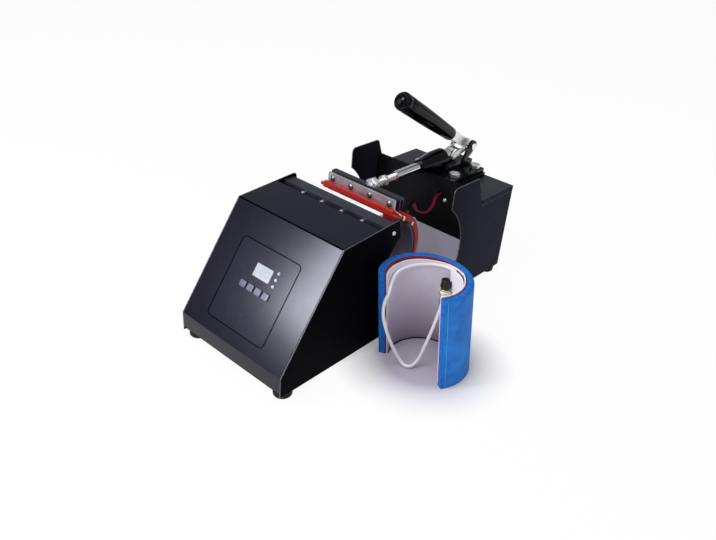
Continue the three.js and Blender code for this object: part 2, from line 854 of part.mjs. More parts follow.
const buttonFlangeTop = fasciaBack - seatGap;
const buttonFlangeFoot = buttonFlangeTop - buttonFlangePlate;
const buttonFoot = buttonFlangeFoot - buttonStem;
function button(x, up) {
  const cap = roundedRectangle(x, up, buttonWidth, buttonHeight, buttonCorner);
  const flangeX = buttonWidth / 2 + buttonFlange;
  const flangeUp = buttonHeight / 2 + buttonFlange;
  return joined(
    upwards(cap, buttonFlangeFoot + buttonFlangePlate / 2, buttonRise, 4),
    block(x - flangeX, x + flangeX, up - flangeUp, up + flangeUp, buttonFlangeFoot, buttonFlangeTop),
    bar("z", buttonStemRadius, buttonFoot, buttonFlangeFoot + buttonFlangePlate / 2, x, up, 16),
  );
}
buttonPlaces.forEach(([x, up], i) => add(panel, `button_${i + 1}`, button(x, up), buttonGrey));

// Circuit board with its posts, display block, lamps and button switches
function controlBoard() {
  const halfX = fasciaWidth / 2 - boardMargin;
  const halfUp = fasciaHeight / 2 - boardMargin;
  const rimX = windowWidth / 2 + windowRim;
  const rimUp = windowHeight / 2 + windowRim;
  const inBoard = boardTop - boardPlate / 2;
  const pieces = [
    block(
      fasciaX - halfX,
      fasciaX + halfX,
      fasciaUp - halfUp,
      fasciaUp + halfUp,
      boardTop - boardPlate,
      boardTop,
    ),
    block(windowX - rimX, windowX + rimX, windowUp - rimUp, windowUp + rimUp, inBoard, windowBack - seatGap),
  ];
  for (const x of [fasciaX - halfX + postInset, fasciaX + halfX - postInset])
    for (const up of [fasciaUp - halfUp + postInset, fasciaUp + halfUp - postInset])
      pieces.push(bar("z", postRadius, inBoard, fasciaBack - seatGap, x, up, 16));
  for (const [x, up] of lampPlaces) pieces.push(bar("z", lampRadius, inBoard, lampRise, x, up, 16));
  const plungerTop = buttonFoot - buttonTravel - seatGap;
  for (const [x, up] of buttonPlaces) {
    const half = switchSide / 2;
    pieces.push(block(x - half, x + half, up - half, up + half, inBoard, plungerTop - switchPlunger));
    pieces.push(bar("z", switchPlungerRadius, inBoard, plungerTop, x, up, 16));
  }
  return joined(...pieces);
}
add(panel, "control_board", controlBoard(), boardGreen);

// A dome screw along Y: head towards the mug, shank away from it
function domeScrew(x, z, headY, tailY) {
  const towards = Math.sign(headY - tailY);
  const points = [
    ...domeShares.map(([heightShare, radiusShare]) => [
      headY + towards * domeHeight * heightShare,
      domeRadius * radiusShare,
    ]),
    [headY, screwRadius],
    [tailY, screwRadius],
    [tailY, 0],
  ];
  if (towards > 0) points.reverse();
  return turned(points, x, z, 16);
}

function jawHoles(piece, places, z, y0, y1) {
  return cut(piece, ...places.map((x) => bar("y", screwRadius + seatGap, y0 - overrun, y1 + overrun, x, z, 20)));
}

// Fixed jaw: a channel between the side plates, the mat end and a clamping strip
const fixedScrewPitch = (fixedStripWidth - 2 * fixedScrewInset) / (jawScrewCount - 1);
const fixedScrewPlaces = centred(jawScrewCount, fixedScrewPitch);
function fixedJawBar() {
  const outer = [
    [fixedBarFrontY, jawFootZ],
    [fixedBarFrontY, fixedTopZ],
    [fixedBarRearY, fixedTopZ],
    [fixedBarRearY, jawFootZ],
  ];
  const channel = acrossX(foldedSheet(outer, barSheet), -innerX, innerX);
  return jawHoles(channel, fixedScrewPlaces, fixedScrewZ, fixedBarFrontY, fixedBarRearY);
}
add(machine, "fixed_jaw_bar", fixedJawBar(), casingGrey);

const fixedStrip = block(
  -fixedStripWidth / 2,
  fixedStripWidth / 2,
  fixedStripFrontY,
  fixedStripRearY,
  jawFootZ,
  fixedTopZ,
);
add(
  machine,
  "fixed_strip",
  jawHoles(fixedStrip, fixedScrewPlaces, fixedScrewZ, fixedStripFrontY, fixedStripRearY),
  stripAlloy,
);
fixedScrewPlaces.forEach((x, i) =>
  add(
    machine,
    `fixed_screw_${i + 1}`,
    domeScrew(x, fixedScrewZ, fixedStripRearY + seatGap, fixedStudFrontY),
    brightSteel,
  ),
);

// Main wrap, in two halves that part at the lowest line, each running up into its jaw. A half is drawn
// as the rear one, and the front one is its mirror image.
const backingRadius = wrapInnerRadius + linerThickness + seatGap;
const wrapOuterRadius = backingRadius + backingThickness;
const matOuterRadius = backingRadius + matEndThickness;
const lowest = -Math.PI / 2;

function arc(radius, from, to, steps) {
  return Array.from({ length: steps + 1 }, (_, i) => {
    const angle = from + ((to - from) * i) / steps;
    return [radius * Math.cos(angle), radius * Math.sin(angle)];
  });
}

function wrapRise(side, matY) {
  return Math.acos((side * (matY + matEndThickness / 2 - wrapY)) / (backingRadius + matEndThickness / 2));
}

function acrossWrap(points, side) {
  const placed = points.map(([along, up]) => [wrapY + side * along, wrapZ + up]);
  return acrossX(shapeOf(placed), -wrapWidth / 2, wrapWidth / 2);
}

function wrapHalf(side, matY, barFootZ, topZ, matX, matWidth, screwPlaces, screwZ) {
  const start = lowest + seatGap / 2 / wrapInnerRadius;
  const rise = wrapRise(side, matY);
  const shoulder = Math.min(rise, Math.asin((barFootZ - seatGap - wrapZ) / wrapOuterRadius));
  const section = [
    ...arc(wrapOuterRadius, start, shoulder, wrapSteps),
    ...arc(matOuterRadius, shoulder, rise, 3),
    ...arc(backingRadius, rise, start, wrapSteps),
  ];
  const matFootZ = wrapZ + (backingRadius + matEndThickness / 2) * Math.sin(rise) - matEndLap;
  const mat = block(matX - matWidth / 2, matX + matWidth / 2, matY, matY + matEndThickness, matFootZ, topZ);
  const bored = jawHoles(mat, screwPlaces, screwZ, matY, matY + matEndThickness);
  return joined(acrossWrap(section, side), bored);
}

function linerHalf(side, matY) {
  const start = lowest + seatGap / 2 / wrapInnerRadius;
  const end = wrapRise(side, matY) - linerEndInset;
  const section = [
    ...arc(wrapInnerRadius + linerThickness, start, end, wrapSteps),
    ...arc(wrapInnerRadius, end, start, wrapSteps),
  ];
  return acrossWrap(section, side);
}
add(
  machine,
  "wrap_front",
  wrapHalf(-1, fixedMatY, jawFootZ, fixedTopZ, 0, fixedStripWidth, fixedScrewPlaces, fixedScrewZ),
  wrapRed,
);
add(machine, "wrap_liner_front", linerHalf(-1, fixedMatY), linerWhite);

// Moving jaw: strip, mat end and a channel that the spindle is nutted to
const movingScrewPitch = (movingStripWidth - 2 * movingScrewInset) / (jawScrewCount - 1);
const movingScrewPlaces = centred(jawScrewCount, movingScrewPitch).map((x) => movingJawX + x);
add(
  machine,
  "wrap_rear",
  wrapHalf(
    1,
    movingMatY,
    movingFootZ,
    movingTopZ,
    movingJawX,
    movingStripWidth,
    movingScrewPlaces,
    movingScrewZ,
  ),
  wrapRed,
);
add(machine, "wrap_liner_rear", linerHalf(1, movingMatY), linerWhite);

const movingStrip = block(
  movingJawX - movingStripWidth / 2,
  movingJawX + movingStripWidth / 2,
  movingStripFrontY,
  movingStripFrontY + movingStripThickness,
  movingFootZ,
  movingTopZ,
);
add(
  machine,
  "moving_strip",
  jawHoles(movingStrip, movingScrewPlaces, movingScrewZ, movingStripFrontY, movingMatY),
  stripAlloy,
);

function movingJawBar() {
  const outer = [
    [movingBarY, movingFootZ],
    [movingBarY, movingTopZ],
    [movingBarRearY, movingTopZ],
    [movingBarRearY, movingFootZ],
  ];
  const halfWidth = movingStripWidth / 2 + movingBarMargin;
  const channel = acrossX(foldedSheet(outer, barSheet), movingJawX - halfWidth, movingJawX + halfWidth);
  return cut(
    jawHoles(channel, movingScrewPlaces, movingScrewZ, movingBarY - overrun, movingBarY + barSheet),
    bar("y", spindleRadius + seatGap, movingBarRearY - barSheet - overrun, movingBarRearY + overrun, 0, clampZ),
    hexagon(
      "y",
      spindleHeadAcross + 2 * seatGap,
      movingBarY + barSheet,
      movingBarRearY - barSheet,
      0,
      clampZ,
    ),
  );
}
add(machine, "moving_jaw_bar", movingJawBar(), casingGrey);

const spindleHeadY = movingBarY + barSheet + seatGap;
movingScrewPlaces.forEach((x, i) =>
  add(
    machine,
    `moving_screw_${i + 1}`,
    domeScrew(x, movingScrewZ, movingStripFrontY - seatGap, spindleHeadY),
    brightSteel,
  ),
);

// Spindle, its two nuts and the plunger rod
const spindleHeadRearY = movingBarRearY - barSheet - seatGap;
function spindle() {
  return joined(
    hexagon("y", spindleHeadAcross, spindleHeadY, spindleHeadRearY, 0, clampZ),
    bar("y", spindleRadius, spindleHeadY + overrun, rodFrontY + rodBoreDepth - spindleTailGap, 0, clampZ),
  );
}
add(machine, "jaw_spindle", spindle(), brightSteel);

function nut(across, y, thickness) {
  return cut(
    hexagon("y", across, y, y + thickness, 0, clampZ),
    bar("y", spindleRadius + seatGap, y - overrun, y + thickness + overrun, 0, clampZ),
  );
}
add(machine, "spindle_nut_1", nut(frontNutAcross, movingBarRearY + seatGap, frontNutThickness), brightSteel);
add(machine, "spindle_nut_2", nut(rearNutAcross, rearNutY, rearNutThickness), brightSteel);

function plungerRod() {
  const tongueY = plungerPinY - rodTongueLength;
  return cut(
    joined(
      bar("y", rodRadius, rodFrontY, tongueY, 0, clampZ, 28),
      acrossX(
        roundEnded(tongueY - overrun, clampZ, plungerPinY, clampZ, rodEndRadius),
        -rodTongueHalfThickness,
        rodTongueHalfThickness,
      ),
    ),
    bar("y", spindleRadius + seatGap, rodFrontY - overrun, rodFrontY + rodBoreDepth, 0, clampZ),
    bar("x", linkPinRadius + seatGap, -rodRadius, rodRadius, plungerPinY, clampZ, 20),
  );
}
add(machine, "plunger_rod", plungerRod(), brightSteel);

// Clamp base: flange, pedestal, barrel and the two arms that hold the pivot
add(
  machine,
  "clamp_mount_plate",
  cut(
    block(
      -mountPlateHalfWidth,
      mountPlateHalfWidth,
      mountPlateFrontY,
      mountPlateRearY,
      mountPlateZ,
      mountPlateZ + mountPlateThickness,
    ),
    ...boltPlaces().map(([x, y]) =>
      bar("z", boltRadius + seatGap, mountPlateZ - overrun, mountPlateZ + mountPlateThickness + overrun, x, y),
    ),
  ),
  plateBlack,
);

function clampArm(x0, x1) {
  const shape = new THREE.Shape();
  const footZ = flangeZ + flangeThickness / 2;
  shape.moveTo(armHeelY, footZ);
  const from = armRoundFrom * THREE.MathUtils.DEG2RAD;
  const to = armRoundTo * THREE.MathUtils.DEG2RAD;
  shape.absarc(basePivotY, basePivotZ, bossRadius, from, to, false);
  shape.lineTo(armShoulderY, armShoulderZ);
  shape.lineTo(armFootY, footZ);
  return acrossX(shape, x0, x1);
}

function clampBase() {
  const boreRadius = rodRadius + runningGap;
  const barrelProfile = [
    [barrelNoseY, boreRadius],
    [barrelNoseY, barrelNoseRadius],
    [barrelShoulderY, barrelRadius],
    [barrelRearY, barrelRadius],
    [barrelRearY, boreRadius],
    [barrelNoseY, boreRadius],
  ];
  const flangeTop = flangeZ + flangeThickness;
  return cut(
    joined(
      block(-flangeHalfWidth, flangeHalfWidth, flangeFrontY, mountPlateRearY, flangeZ, flangeTop),
      block(-armOuterX, armOuterX, flangeFrontY, armHeelY, flangeZ + flangeThickness / 2, pedestalTopZ),
      turned(barrelProfile, 0, clampZ, 32),
      clampArm(-armOuterX, -armInnerX),
      clampArm(armInnerX, armOuterX),
    ),
    ...boltPlaces().map(([x, y]) => bar("z", boltRadius + seatGap, flangeZ - overrun, flangeTop + overrun, x, y)),
    bar("x", pivotPinRadius + seatGap, -armOuterX - overrun, armOuterX + overrun, basePivotY, basePivotZ, 20),
  );
}
add(machine, "clamp_base", clampBase(), plateBlack);

const deckUndersideZ = deckTopZ - sheet;
boltPlaces().forEach(([x, y], i) =>
  add(
    machine,
    `clamp_bolt_${i + 1}`,
    joined(
      hexagon("z", boltHeadAcross, boltHeadZ, boltHeadZ + boltHeadHeight, x, y),
      bar("z", boltRadius, deckUndersideZ - boltTail, boltHeadZ + boltHeadHeight / 2, x, y),
    ),
    brightSteel,
  ),
);

// A pin across the clamp with a head at each end
function headedPin(radius, headRadius, headHeight, headFootX, y, z) {
  return joined(
    bar("x", radius, -headFootX - headHeight / 2, headFootX + headHeight / 2, y, z, 20),
    bar("x", headRadius, -headFootX - headHeight, -headFootX, y, z, 20),
    bar("x", headRadius, headFootX, headFootX + headHeight, y, z, 20),
  );
}
add(
  machine,
  "clamp_pivot_pin",
  headedPin(pivotPinRadius, pivotHeadRadius, pivotHeadHeight, armOuterX + seatGap, basePivotY, basePivotZ),
  brightSteel,
);
add(
  machine,
  "plunger_pin",
  headedPin(linkPinRadius, rivetRadius, rivetHeight, pinHeadFoot, plungerPinY, clampZ),
  brightSteel,
);

// Links, with their rear rivets; the lever's lobe runs free between them
const crankPinY = basePivotY + leverCrank * Math.cos(crankAngle);
const crankPinZ = basePivotZ + leverCrank * Math.sin(crankAngle);
function link(side) {
  const [inner, outer] = [side * linkInnerX, side * linkOuterX].sort((a, b) => a - b);
  const rivetFrom = side > 0 ? outer - overrun : inner - rivetHeight;
  const rivetTo = side > 0 ? outer + rivetHeight : inner + overrun;
  return cut(
    joined(
      acrossX(roundEnded(plungerPinY, clampZ, crankPinY, crankPinZ, linkEndRadius), inner, outer),
      bar("x", rivetRadius, rivetFrom, rivetTo, crankPinY, crankPinZ, 20),
    ),
    bar("x", linkPinRadius + runningGap, inner - overrun, outer + overrun, plungerPinY, clampZ, 20),
  );
}
add(machine, "link_left", link(-1), brightSteel);
add(machine, "link_right", link(1), brightSteel);

// Handle: lever and grip drawn along Y from the base pivot, then swung up to the locked position
const handle = new THREE.Group();
handle.position.set(0, basePivotY, basePivotZ);
handle.rotation.x = leverAngle * THREE.MathUtils.DEG2RAD;
machine.add(handle);

function lever() {
  const lobeAngle = crankAngle - handle.rotation.x;
  const lobeY = leverCrank * Math.cos(lobeAngle);
  const lobeZ = leverCrank * Math.sin(lobeAngle);
  const lobe = roundEnded(0, 0, lobeY, lobeZ, leverEyeRadius, leverLobeRadius);
  return cut(
    joined(
      acrossX(lobe, -leverHalfThickness, leverHalfThickness),
      block(
        -leverHalfThickness,
        leverHalfThickness,
        0,
        leverLength - seatGap,
        -leverHalfHeight,
        leverHalfHeight,
      ),
      block(
        -gripTangHalfWidth,
        gripTangHalfWidth,
        leverLength - overrun,
        leverLength + gripTang,
        -gripTangHalfHeight,
        gripTangHalfHeight,
      ),
    ),
    bar("x", pivotPinRadius + runningGap, -leverHalfThickness - overrun, leverHalfThickness + overrun, 0, 0, 20),
  );
}
add(handle, "handle_lever", lever(), brightSteel);

function grip() {
  const end = leverLength + gripLength;
  const growth = gripEndRadius - gripShankRadius;
  const points = [
    [leverLength, 0],
    [leverLength, gripShankRadius - gripDish / 2],
    [leverLength + gripDish / 2, gripShankRadius],
    [(leverLength + end) / 2, gripShankRadius + growth * gripBellyShare],
    [end - gripDish * 2, gripShankRadius + growth * gripFlareShare],
    [end - gripDish, gripEndRadius],
    [end, gripEndRadius - gripDish / 2],
    [end - gripDish / 2, gripEndRadius / 2],
    [end - gripDish, 0],
  ];
  const slotX = gripTangHalfWidth + seatGap;
  const slotZ = gripTangHalfHeight + seatGap;
  const slotEnd = leverLength + gripTang + seatGap;
  return cut(turned(points, 0, 0), block(-slotX, slotX, leverLength - overrun, slotEnd, -slotZ, slotZ));
}
add(handle, "handle_grip", grip(), blackRubber);

// A lead drawn along points that are chosen by hand
function lead(points, section, steps, curveSegments) {
  const route = new THREE.CatmullRomCurve3(points.map(([x, y, z]) => new THREE.Vector3(x, y, z)));
  return new THREE.ExtrudeGeometry(section, { steps, bevelEnabled: false, extrudePath: route, curveSegments });
}

// Twin lead: two wires side by side, from the rear half of the wrap through the rear wall
function twinSection() {
  const shape = new THREE.Shape();
  shape.absarc(leadWireRadius, 0, leadWireRadius, -Math.PI / 2, Math.PI / 2, false);
  shape.absarc(-leadWireRadius, 0, leadWireRadius, Math.PI / 2, Math.PI * 1.5, false);
  return shape;
}
const twinRoute = [
  [56, 229.3, 136.8],
  [56, 233.5, 143],
  [54.5, 240, 149],
  [52, 247, 143],
  [50, 254.5, 132.5],
  [48.5, 265, 124],
  [47.5, 278, 118],
  [45, 292, 115.2],
  [40.5, 306, 115.6],
  [34, 319, 117.4],
  [29.6, 330, 119],
  [leadHoleX, 338, leadHoleZ],
  [leadHoleX, 346, leadHoleZ],
];
add(machine, "wrap_lead", lead(twinRoute, twinSection(), leadSteps, 2), leadRed);

// Spare wrap: drawn upright on its centre line, then leaned
const spare = new THREE.Group();
spare.position.set(spareX, spareY, -footHeight);
machine.add(spare);

function leaned(geometry) {
  const place = geometry.getAttribute("position");
  for (let i = 0; i < place.count; i += 1) {
    const share = place.getZ(i) / spareHeight;
    const size = 1 + (spareTopShare - 1) * share;
    place.setX(i, place.getX(i) * size + spareLeanX * share);
    place.setY(i, place.getY(i) * size + spareLeanY * share);
  }
  return geometry;
}

function spareRing(innerRadius, outerRadius) {
  const from = spareStartAngle * THREE.MathUtils.DEG2RAD;
  const to = spareEndAngle * THREE.MathUtils.DEG2RAD;
  const points = [
    ...arc(outerRadius, from, to, spareSteps * 2),
    ...arc(innerRadius, to, from, spareSteps * 2),
  ];
  return leaned(upwards(shapeOf(points), 0, spareHeight));
}
const spareFoamInner = spareOuterRadius - spareFoam;
const spareLinerOuter = spareFoamInner - seatGap;
add(spare, "spare_foam", spareRing(spareFoamInner, spareOuterRadius), wrapBlue);
add(spare, "spare_liner", spareRing(spareLinerOuter - spareLiner, spareLinerOuter), linerWhite);

// Spare lead: from the liner down to the floor and up to its plug
function roundSection(radius) {
  const shape = new THREE.Shape();
  shape.absarc(0, 0, radius, 0, 2 * Math.PI, false);
  return shape;
}
const spareRoute = [
  [162.16, 196.24, 110.5],
  [157.19, 198.9, 110.4],
  [147.77, 201.87, 109.8],
  [136.55, 202.43, 108.6],
  [125.66, 199.93, 107],
  [115.94, 194.54, 105.2],
  [108.13, 186.65, 103.6],
  [102.86, 176.89, 102.2],
  [100.67, 167.48, 100.6],
  [101.9, 157.4, 98],
  [104.7, 148.9, 92.2],
  [107.6, 142.3, 84.2],
  [107.4, 136.6, 74.5],
  [109.3, 133.8, 60],
  [115.8, 137.5, 34],
  [123.5, 145, 10],
  [129.5, 150, -3],
  [137, 150, -6.2],
  [143, 153.5, -5],
  [146.2, 160, 1],
  [148.4, 168, 19],
  [148.6, 178, 38],
  [147.9, 186.5, 54],
  [147.15, 191.4, 63.6],
  [147.01, 192.33, 67.7],
];
add(machine, "spare_lead", lead(spareRoute, roundSection(spareWireRadius), spareWireSteps, 4), leadWhite);

const spareLeadEnd = new THREE.Vector3(...spareRoute.at(-1));
const plugAxis = spareLeadEnd.clone().sub(new THREE.Vector3(...spareRoute.at(-2))).normalize();
const plugPlace = new THREE.Group();
plugPlace.position.copy(spareLeadEnd).addScaledVector(plugAxis, seatGap);
plugPlace.quaternion.setFromUnitVectors(new THREE.Vector3(0, 1, 0), plugAxis);
machine.add(plugPlace);
function plug() {
  const collarEnd = plugTailLength + plugCollarLength;
  const rimFoot = plugLength - plugRimLength;
  const bowlRadius = plugCollarRadius - plugBowlWall;
  const points = [
    [0, 0],
    [0, plugTailRadius],
    [plugTailLength, plugTailRadius],
    [plugTailLength, plugCollarRadius],
    [collarEnd, plugCollarRadius],
    [collarEnd, plugRadius],
    [rimFoot, plugRadius],
    [rimFoot, plugCollarRadius],
    [plugLength, plugCollarRadius],
    [plugLength, bowlRadius],
    [plugLength - plugBowl, bowlRadius],
    [plugLength - plugBowl, 0],
  ];
  return turned(points, 0, 0);
}
add(plugPlace, "spare_connector", plug(), brightSteel);

// Origin: under the middle of the box round everything but the spare's lead and plug
const looseNames = ["spare_lead", "spare_connector"];
machine.updateMatrixWorld(true);
const around = new THREE.Box3();
machine.traverse((object) => {
  if (object.isMesh && !looseNames.includes(object.name)) around.expandByObject(object, true);
});
const middle = around.getCenter(new THREE.Vector3());
machine.position.set(-middle.x, -middle.y, -around.min.z);

export default press;
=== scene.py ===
import json
import math

import bmesh
import bpy
from mathutils import Matrix, Vector, noise

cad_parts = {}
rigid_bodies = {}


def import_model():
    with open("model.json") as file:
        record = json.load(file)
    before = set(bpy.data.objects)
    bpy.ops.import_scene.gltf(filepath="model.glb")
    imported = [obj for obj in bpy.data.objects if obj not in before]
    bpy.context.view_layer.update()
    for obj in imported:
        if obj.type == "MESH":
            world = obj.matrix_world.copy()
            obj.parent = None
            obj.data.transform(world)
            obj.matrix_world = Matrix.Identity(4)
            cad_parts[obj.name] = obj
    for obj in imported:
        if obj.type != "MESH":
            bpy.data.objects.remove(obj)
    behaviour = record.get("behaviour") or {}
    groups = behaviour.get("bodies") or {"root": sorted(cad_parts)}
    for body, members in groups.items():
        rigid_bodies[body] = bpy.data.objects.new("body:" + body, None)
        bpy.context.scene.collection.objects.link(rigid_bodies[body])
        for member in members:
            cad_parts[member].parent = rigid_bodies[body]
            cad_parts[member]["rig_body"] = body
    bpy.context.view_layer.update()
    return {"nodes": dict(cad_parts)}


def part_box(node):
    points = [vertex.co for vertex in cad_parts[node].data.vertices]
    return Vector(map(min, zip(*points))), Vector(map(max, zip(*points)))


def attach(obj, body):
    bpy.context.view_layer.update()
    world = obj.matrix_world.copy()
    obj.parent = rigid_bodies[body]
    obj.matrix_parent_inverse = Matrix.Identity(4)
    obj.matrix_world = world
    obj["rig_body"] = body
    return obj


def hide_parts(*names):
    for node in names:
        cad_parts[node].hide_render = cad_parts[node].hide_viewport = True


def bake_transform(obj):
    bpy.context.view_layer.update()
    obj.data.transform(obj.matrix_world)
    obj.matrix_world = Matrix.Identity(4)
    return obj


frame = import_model()
nodes = frame["nodes"]

# The machine is drawn in millimetres: X from its middle to the right, Y back from the front lip, Z up from
# the lower edge of the side plates. place() turns such a point into the frame, in metres.
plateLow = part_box("left_side_plate")[0]
halfWidth = 85
machineOrigin = Vector((plateLow.x + halfWidth / 1000, plateLow.y, plateLow.z))
upward = Vector((0, 0, 1))
rightward = Vector((1, 0, 0))


def place(x, y, z):
    return machineOrigin + Vector((x, y, z)) / 1000


def addObject(name, data):
    added = bpy.data.objects.new(name, data)
    bpy.context.scene.collection.objects.link(added)
    return added


# Camera
cameraView = {
    "azimuth": 39.89,
    "elevation": 31.45,
    "roll": 4.72,
    "focal": 711.4,  # pixels, on a picture 716 wide and 540 high
    "middle": (354, 275),
    "picture": (716, 540),
    "sensor": 36,
    "clipStart": 0.02,
    "place": (0.4503, -0.6168, 0.5231),
}


def addCamera(view):
    azimuth, elevation, roll = (math.radians(view[key]) for key in ("azimuth", "elevation", "roll"))
    flat = math.cos(elevation)
    back = Vector((math.sin(azimuth) * flat, -math.cos(azimuth) * flat, math.sin(elevation)))
    level = Vector((math.cos(azimuth), math.sin(azimuth), 0))
    above = back.cross(level)
    right = math.cos(roll) * level + math.sin(roll) * above
    up = -math.sin(roll) * level + math.cos(roll) * above
    width, height = view["picture"]
    lens = bpy.data.cameras.new("pressCamera")
    lens.sensor_width = view["sensor"]
    lens.lens = view["focal"] * view["sensor"] / width
    lens.shift_x = (width / 2 - view["middle"][0]) / width
    lens.shift_y = (view["middle"][1] - height / 2) / width
    lens.clip_start = view["clipStart"]
    camera = addObject("pressCamera", lens)
    turn = Matrix((right, up, back)).transposed().to_4x4()
    camera.matrix_world = Matrix.Translation(view["place"]) @ turn
    bpy.context.scene.camera = camera


addCamera(cameraView)
print("camera placed")

# Materials: the scales of their noise, in waves over a metre, and the depths of their bumps, in metres
noiseScales = {"paintPatches": 90, "peel": 1100, "metalClouds": 60, "mouldPatches": 150}
bumpDepths = {"peel": 0.0002, "lines": 0.0001, "fine": 0.0002, "dimples": 0.0008}


def addNode(tree, kind, sockets=None, **settings):
    node = tree.nodes.new(kind)
    for setting, value in settings.items():
        setattr(node, setting, value)
    for socket, value in (sockets or {}).items():
        if isinstance(value, bpy.types.NodeSocket):
            tree.links.new(value, node.inputs[socket])
        else:
            node.inputs[socket].default_value = value
    return node


def reckoned(tree, operation, first, second, **settings):
    return addNode(tree, "ShaderNodeMath", {0: first, 1: second}, operation=operation, **settings).outputs[0]


def newFinish(name, **values):
    finish = bpy.data.materials.new(name)
    finish.use_nodes = True
    tree = finish.node_tree
    shader = tree.nodes["Principled BSDF"]
    for socket, value in values.items():
        shader.inputs[socket.replace("_", " ")].default_value = value
    return finish, tree, shader, addNode(tree, "ShaderNodeTexCoord").outputs["Object"]


def grain(tree, where, scale, detail=2, stretch=None):
    if stretch:
        where = addNode(tree, "ShaderNodeMapping", {"Vector": where, "Scale": stretch}).outputs["Vector"]
    sockets = {"Vector": where, "Scale": scale, "Detail": detail, "Roughness": 0.5}
    return addNode(tree, "ShaderNodeTexNoise", sockets).outputs["Fac"]


def spread(tree, value, low, high, fromLow=0.3, fromHigh=0.7):
    limits = {"From Min": fromLow, "From Max": fromHigh, "To Min": low, "To Max": high}
    return addNode(tree, "ShaderNodeMapRange", {"Value": value, **limits}).outputs["Result"]


def blendColours(tree, share, first, second):
    mixer = addNode(tree, "ShaderNodeMix", data_type="RGBA")
    for index, value in ((0, share), (6, first), (7, second)):
        if isinstance(value, bpy.types.NodeSocket):
            tree.links.new(value, mixer.inputs[index])
        else:
            mixer.inputs[index].default_value = value if index == 0 else (*value, 1)
    return mixer.outputs[2]


def clouded(tree, where, scale, colour, worn, detail=3):
    return blendColours(tree, spread(tree, grain(tree, where, scale, detail), 0, 1), colour, worn)


def turning(tree, where, axis, span, first, second):
    # One colour turns into another along an axis, between the two places in span
    along = addNode(tree, "ShaderNodeSeparateXYZ", {0: where}).outputs[axis]
    return blendColours(tree, spread(tree, along, 0, 1, *span), first, second)


def surfaced(tree, shader, colour, patches, roughness, layers):
    # Each layer is a height, its strength and its depth in metres
    tree.links.new(colour, shader.inputs["Base Color"])
    tree.links.new(spread(tree, patches, *roughness), shader.inputs["Roughness"])
    normal = None
    for height, strength, depth in layers:
        sockets = {"Height": height, "Strength": strength, "Distance": depth}
        if normal:
            sockets["Normal"] = normal
        normal = addNode(tree, "ShaderNodeBump", sockets).outputs["Normal"]
    tree.links.new(normal, shader.inputs["Normal"])


def powderCoat(name, colour, worn, roughness, specular, cloud=18, peel=0.12, rear=None):
    finish, tree, shader, where = newFinish(name, Specular_IOR_Level=specular)
    colour = clouded(tree, where, cloud, colour, worn)
    if rear:  # a lighter colour towards the rear of the machine: painted reflection
        colour = turning(tree, where, "Y", rear[1:], colour, rear[0])
    layers = [(grain(tree, where, noiseScales["peel"]), peel, bumpDepths["peel"])]
    patches = grain(tree, where, noiseScales["paintPatches"], detail=4)
    surfaced(tree, shader, colour, patches, roughness, layers)
    return finish


def bareMetal(name, colour, worn, roughness, scale, bump=0.1, stretch=None):
    finish, tree, shader, where = newFinish(name, Metallic=1.0)
    colour = clouded(tree, where, noiseScales["metalClouds"], colour, worn)
    lines = grain(tree, where, scale, detail=3, stretch=stretch)
    surfaced(tree, shader, colour, lines, roughness, [(lines, bump, bumpDepths["lines"])])
    return finish


def moulded(name, colour, worn, roughness, specular, cloud=40, fine=1500, bump=0.15, dimples=None, foot=None):
    finish, tree, shader, where = newFinish(name, Specular_IOR_Level=specular)
    colour = clouded(tree, where, cloud, colour, worn, detail=4)
    if foot:  # a darker colour towards the floor: painted shade
        colour = turning(tree, where, "Z", foot[1:], foot[0], colour)
    layers = [(grain(tree, where, fine), bump, bumpDepths["fine"])]
    if dimples:
        layers.append((grain(tree, where, dimples[0]), dimples[1], bumpDepths["dimples"]))
    patches = grain(tree, where, noiseScales["mouldPatches"], detail=3)
    surfaced(tree, shader, colour, patches, roughness, layers)
    return finish


# Each finish has its colour, the colour of its worn or cloudy places, its roughness from and to, its
# specular level (the scale of the lines on a metal), and what sets it apart
paints = {
    "blackPlate": (
        (0.0012, 0.0012, 0.0018), (0.002, 0.002, 0.003), (0.4, 0.5), 0.012,
        # The plates' rear colour is painted reflection: it lightens them towards the rear
        {"peel": 0.08, "rear": ((0.024, 0.024, 0.038), 0, 0.14)},
    ),
    # The plates' edges are painted lighter: painted highlight
    "plateEdge": ((0.05, 0.05, 0.062), (0.08, 0.08, 0.095), (0.24, 0.3), 0.5),
    "innerPlate": ((0.002, 0.002, 0.003), (0.005, 0.005, 0.007), (0.5, 0.6), 0.08),
    "deckPaint": ((0.017, 0.017, 0.023), (0.024, 0.024, 0.031), (0.34, 0.44), 0.3),
    "casingPaint": (
        (0.0018, 0.002, 0.0085), (0.0034, 0.0036, 0.0115), (0.17, 0.19), 0.28,
        {"cloud": 30, "peel": 0.02},
    ),
    # This near-black matt finish darkens the casing's edges, groove and fold: painted shade
    "foldEdge": ((0.0003, 0.0003, 0.0005), (0.0006, 0.0006, 0.001), (0.6, 0.7), 0.01),
    # This pale grey on the black rear slope is painted reflection
    "slopePaint": ((0.33, 0.32, 0.4), (0.46, 0.44, 0.52), (0.3, 0.4), 0.5),
    "jawPaint": ((0.016, 0.018, 0.025), (0.028, 0.031, 0.041), (0.36, 0.46), 0.3),
    "clampPaint": ((0.001, 0.001, 0.0022), (0.002, 0.002, 0.004), (0.16, 0.22), 0.2, {"peel": 0.02}),
}
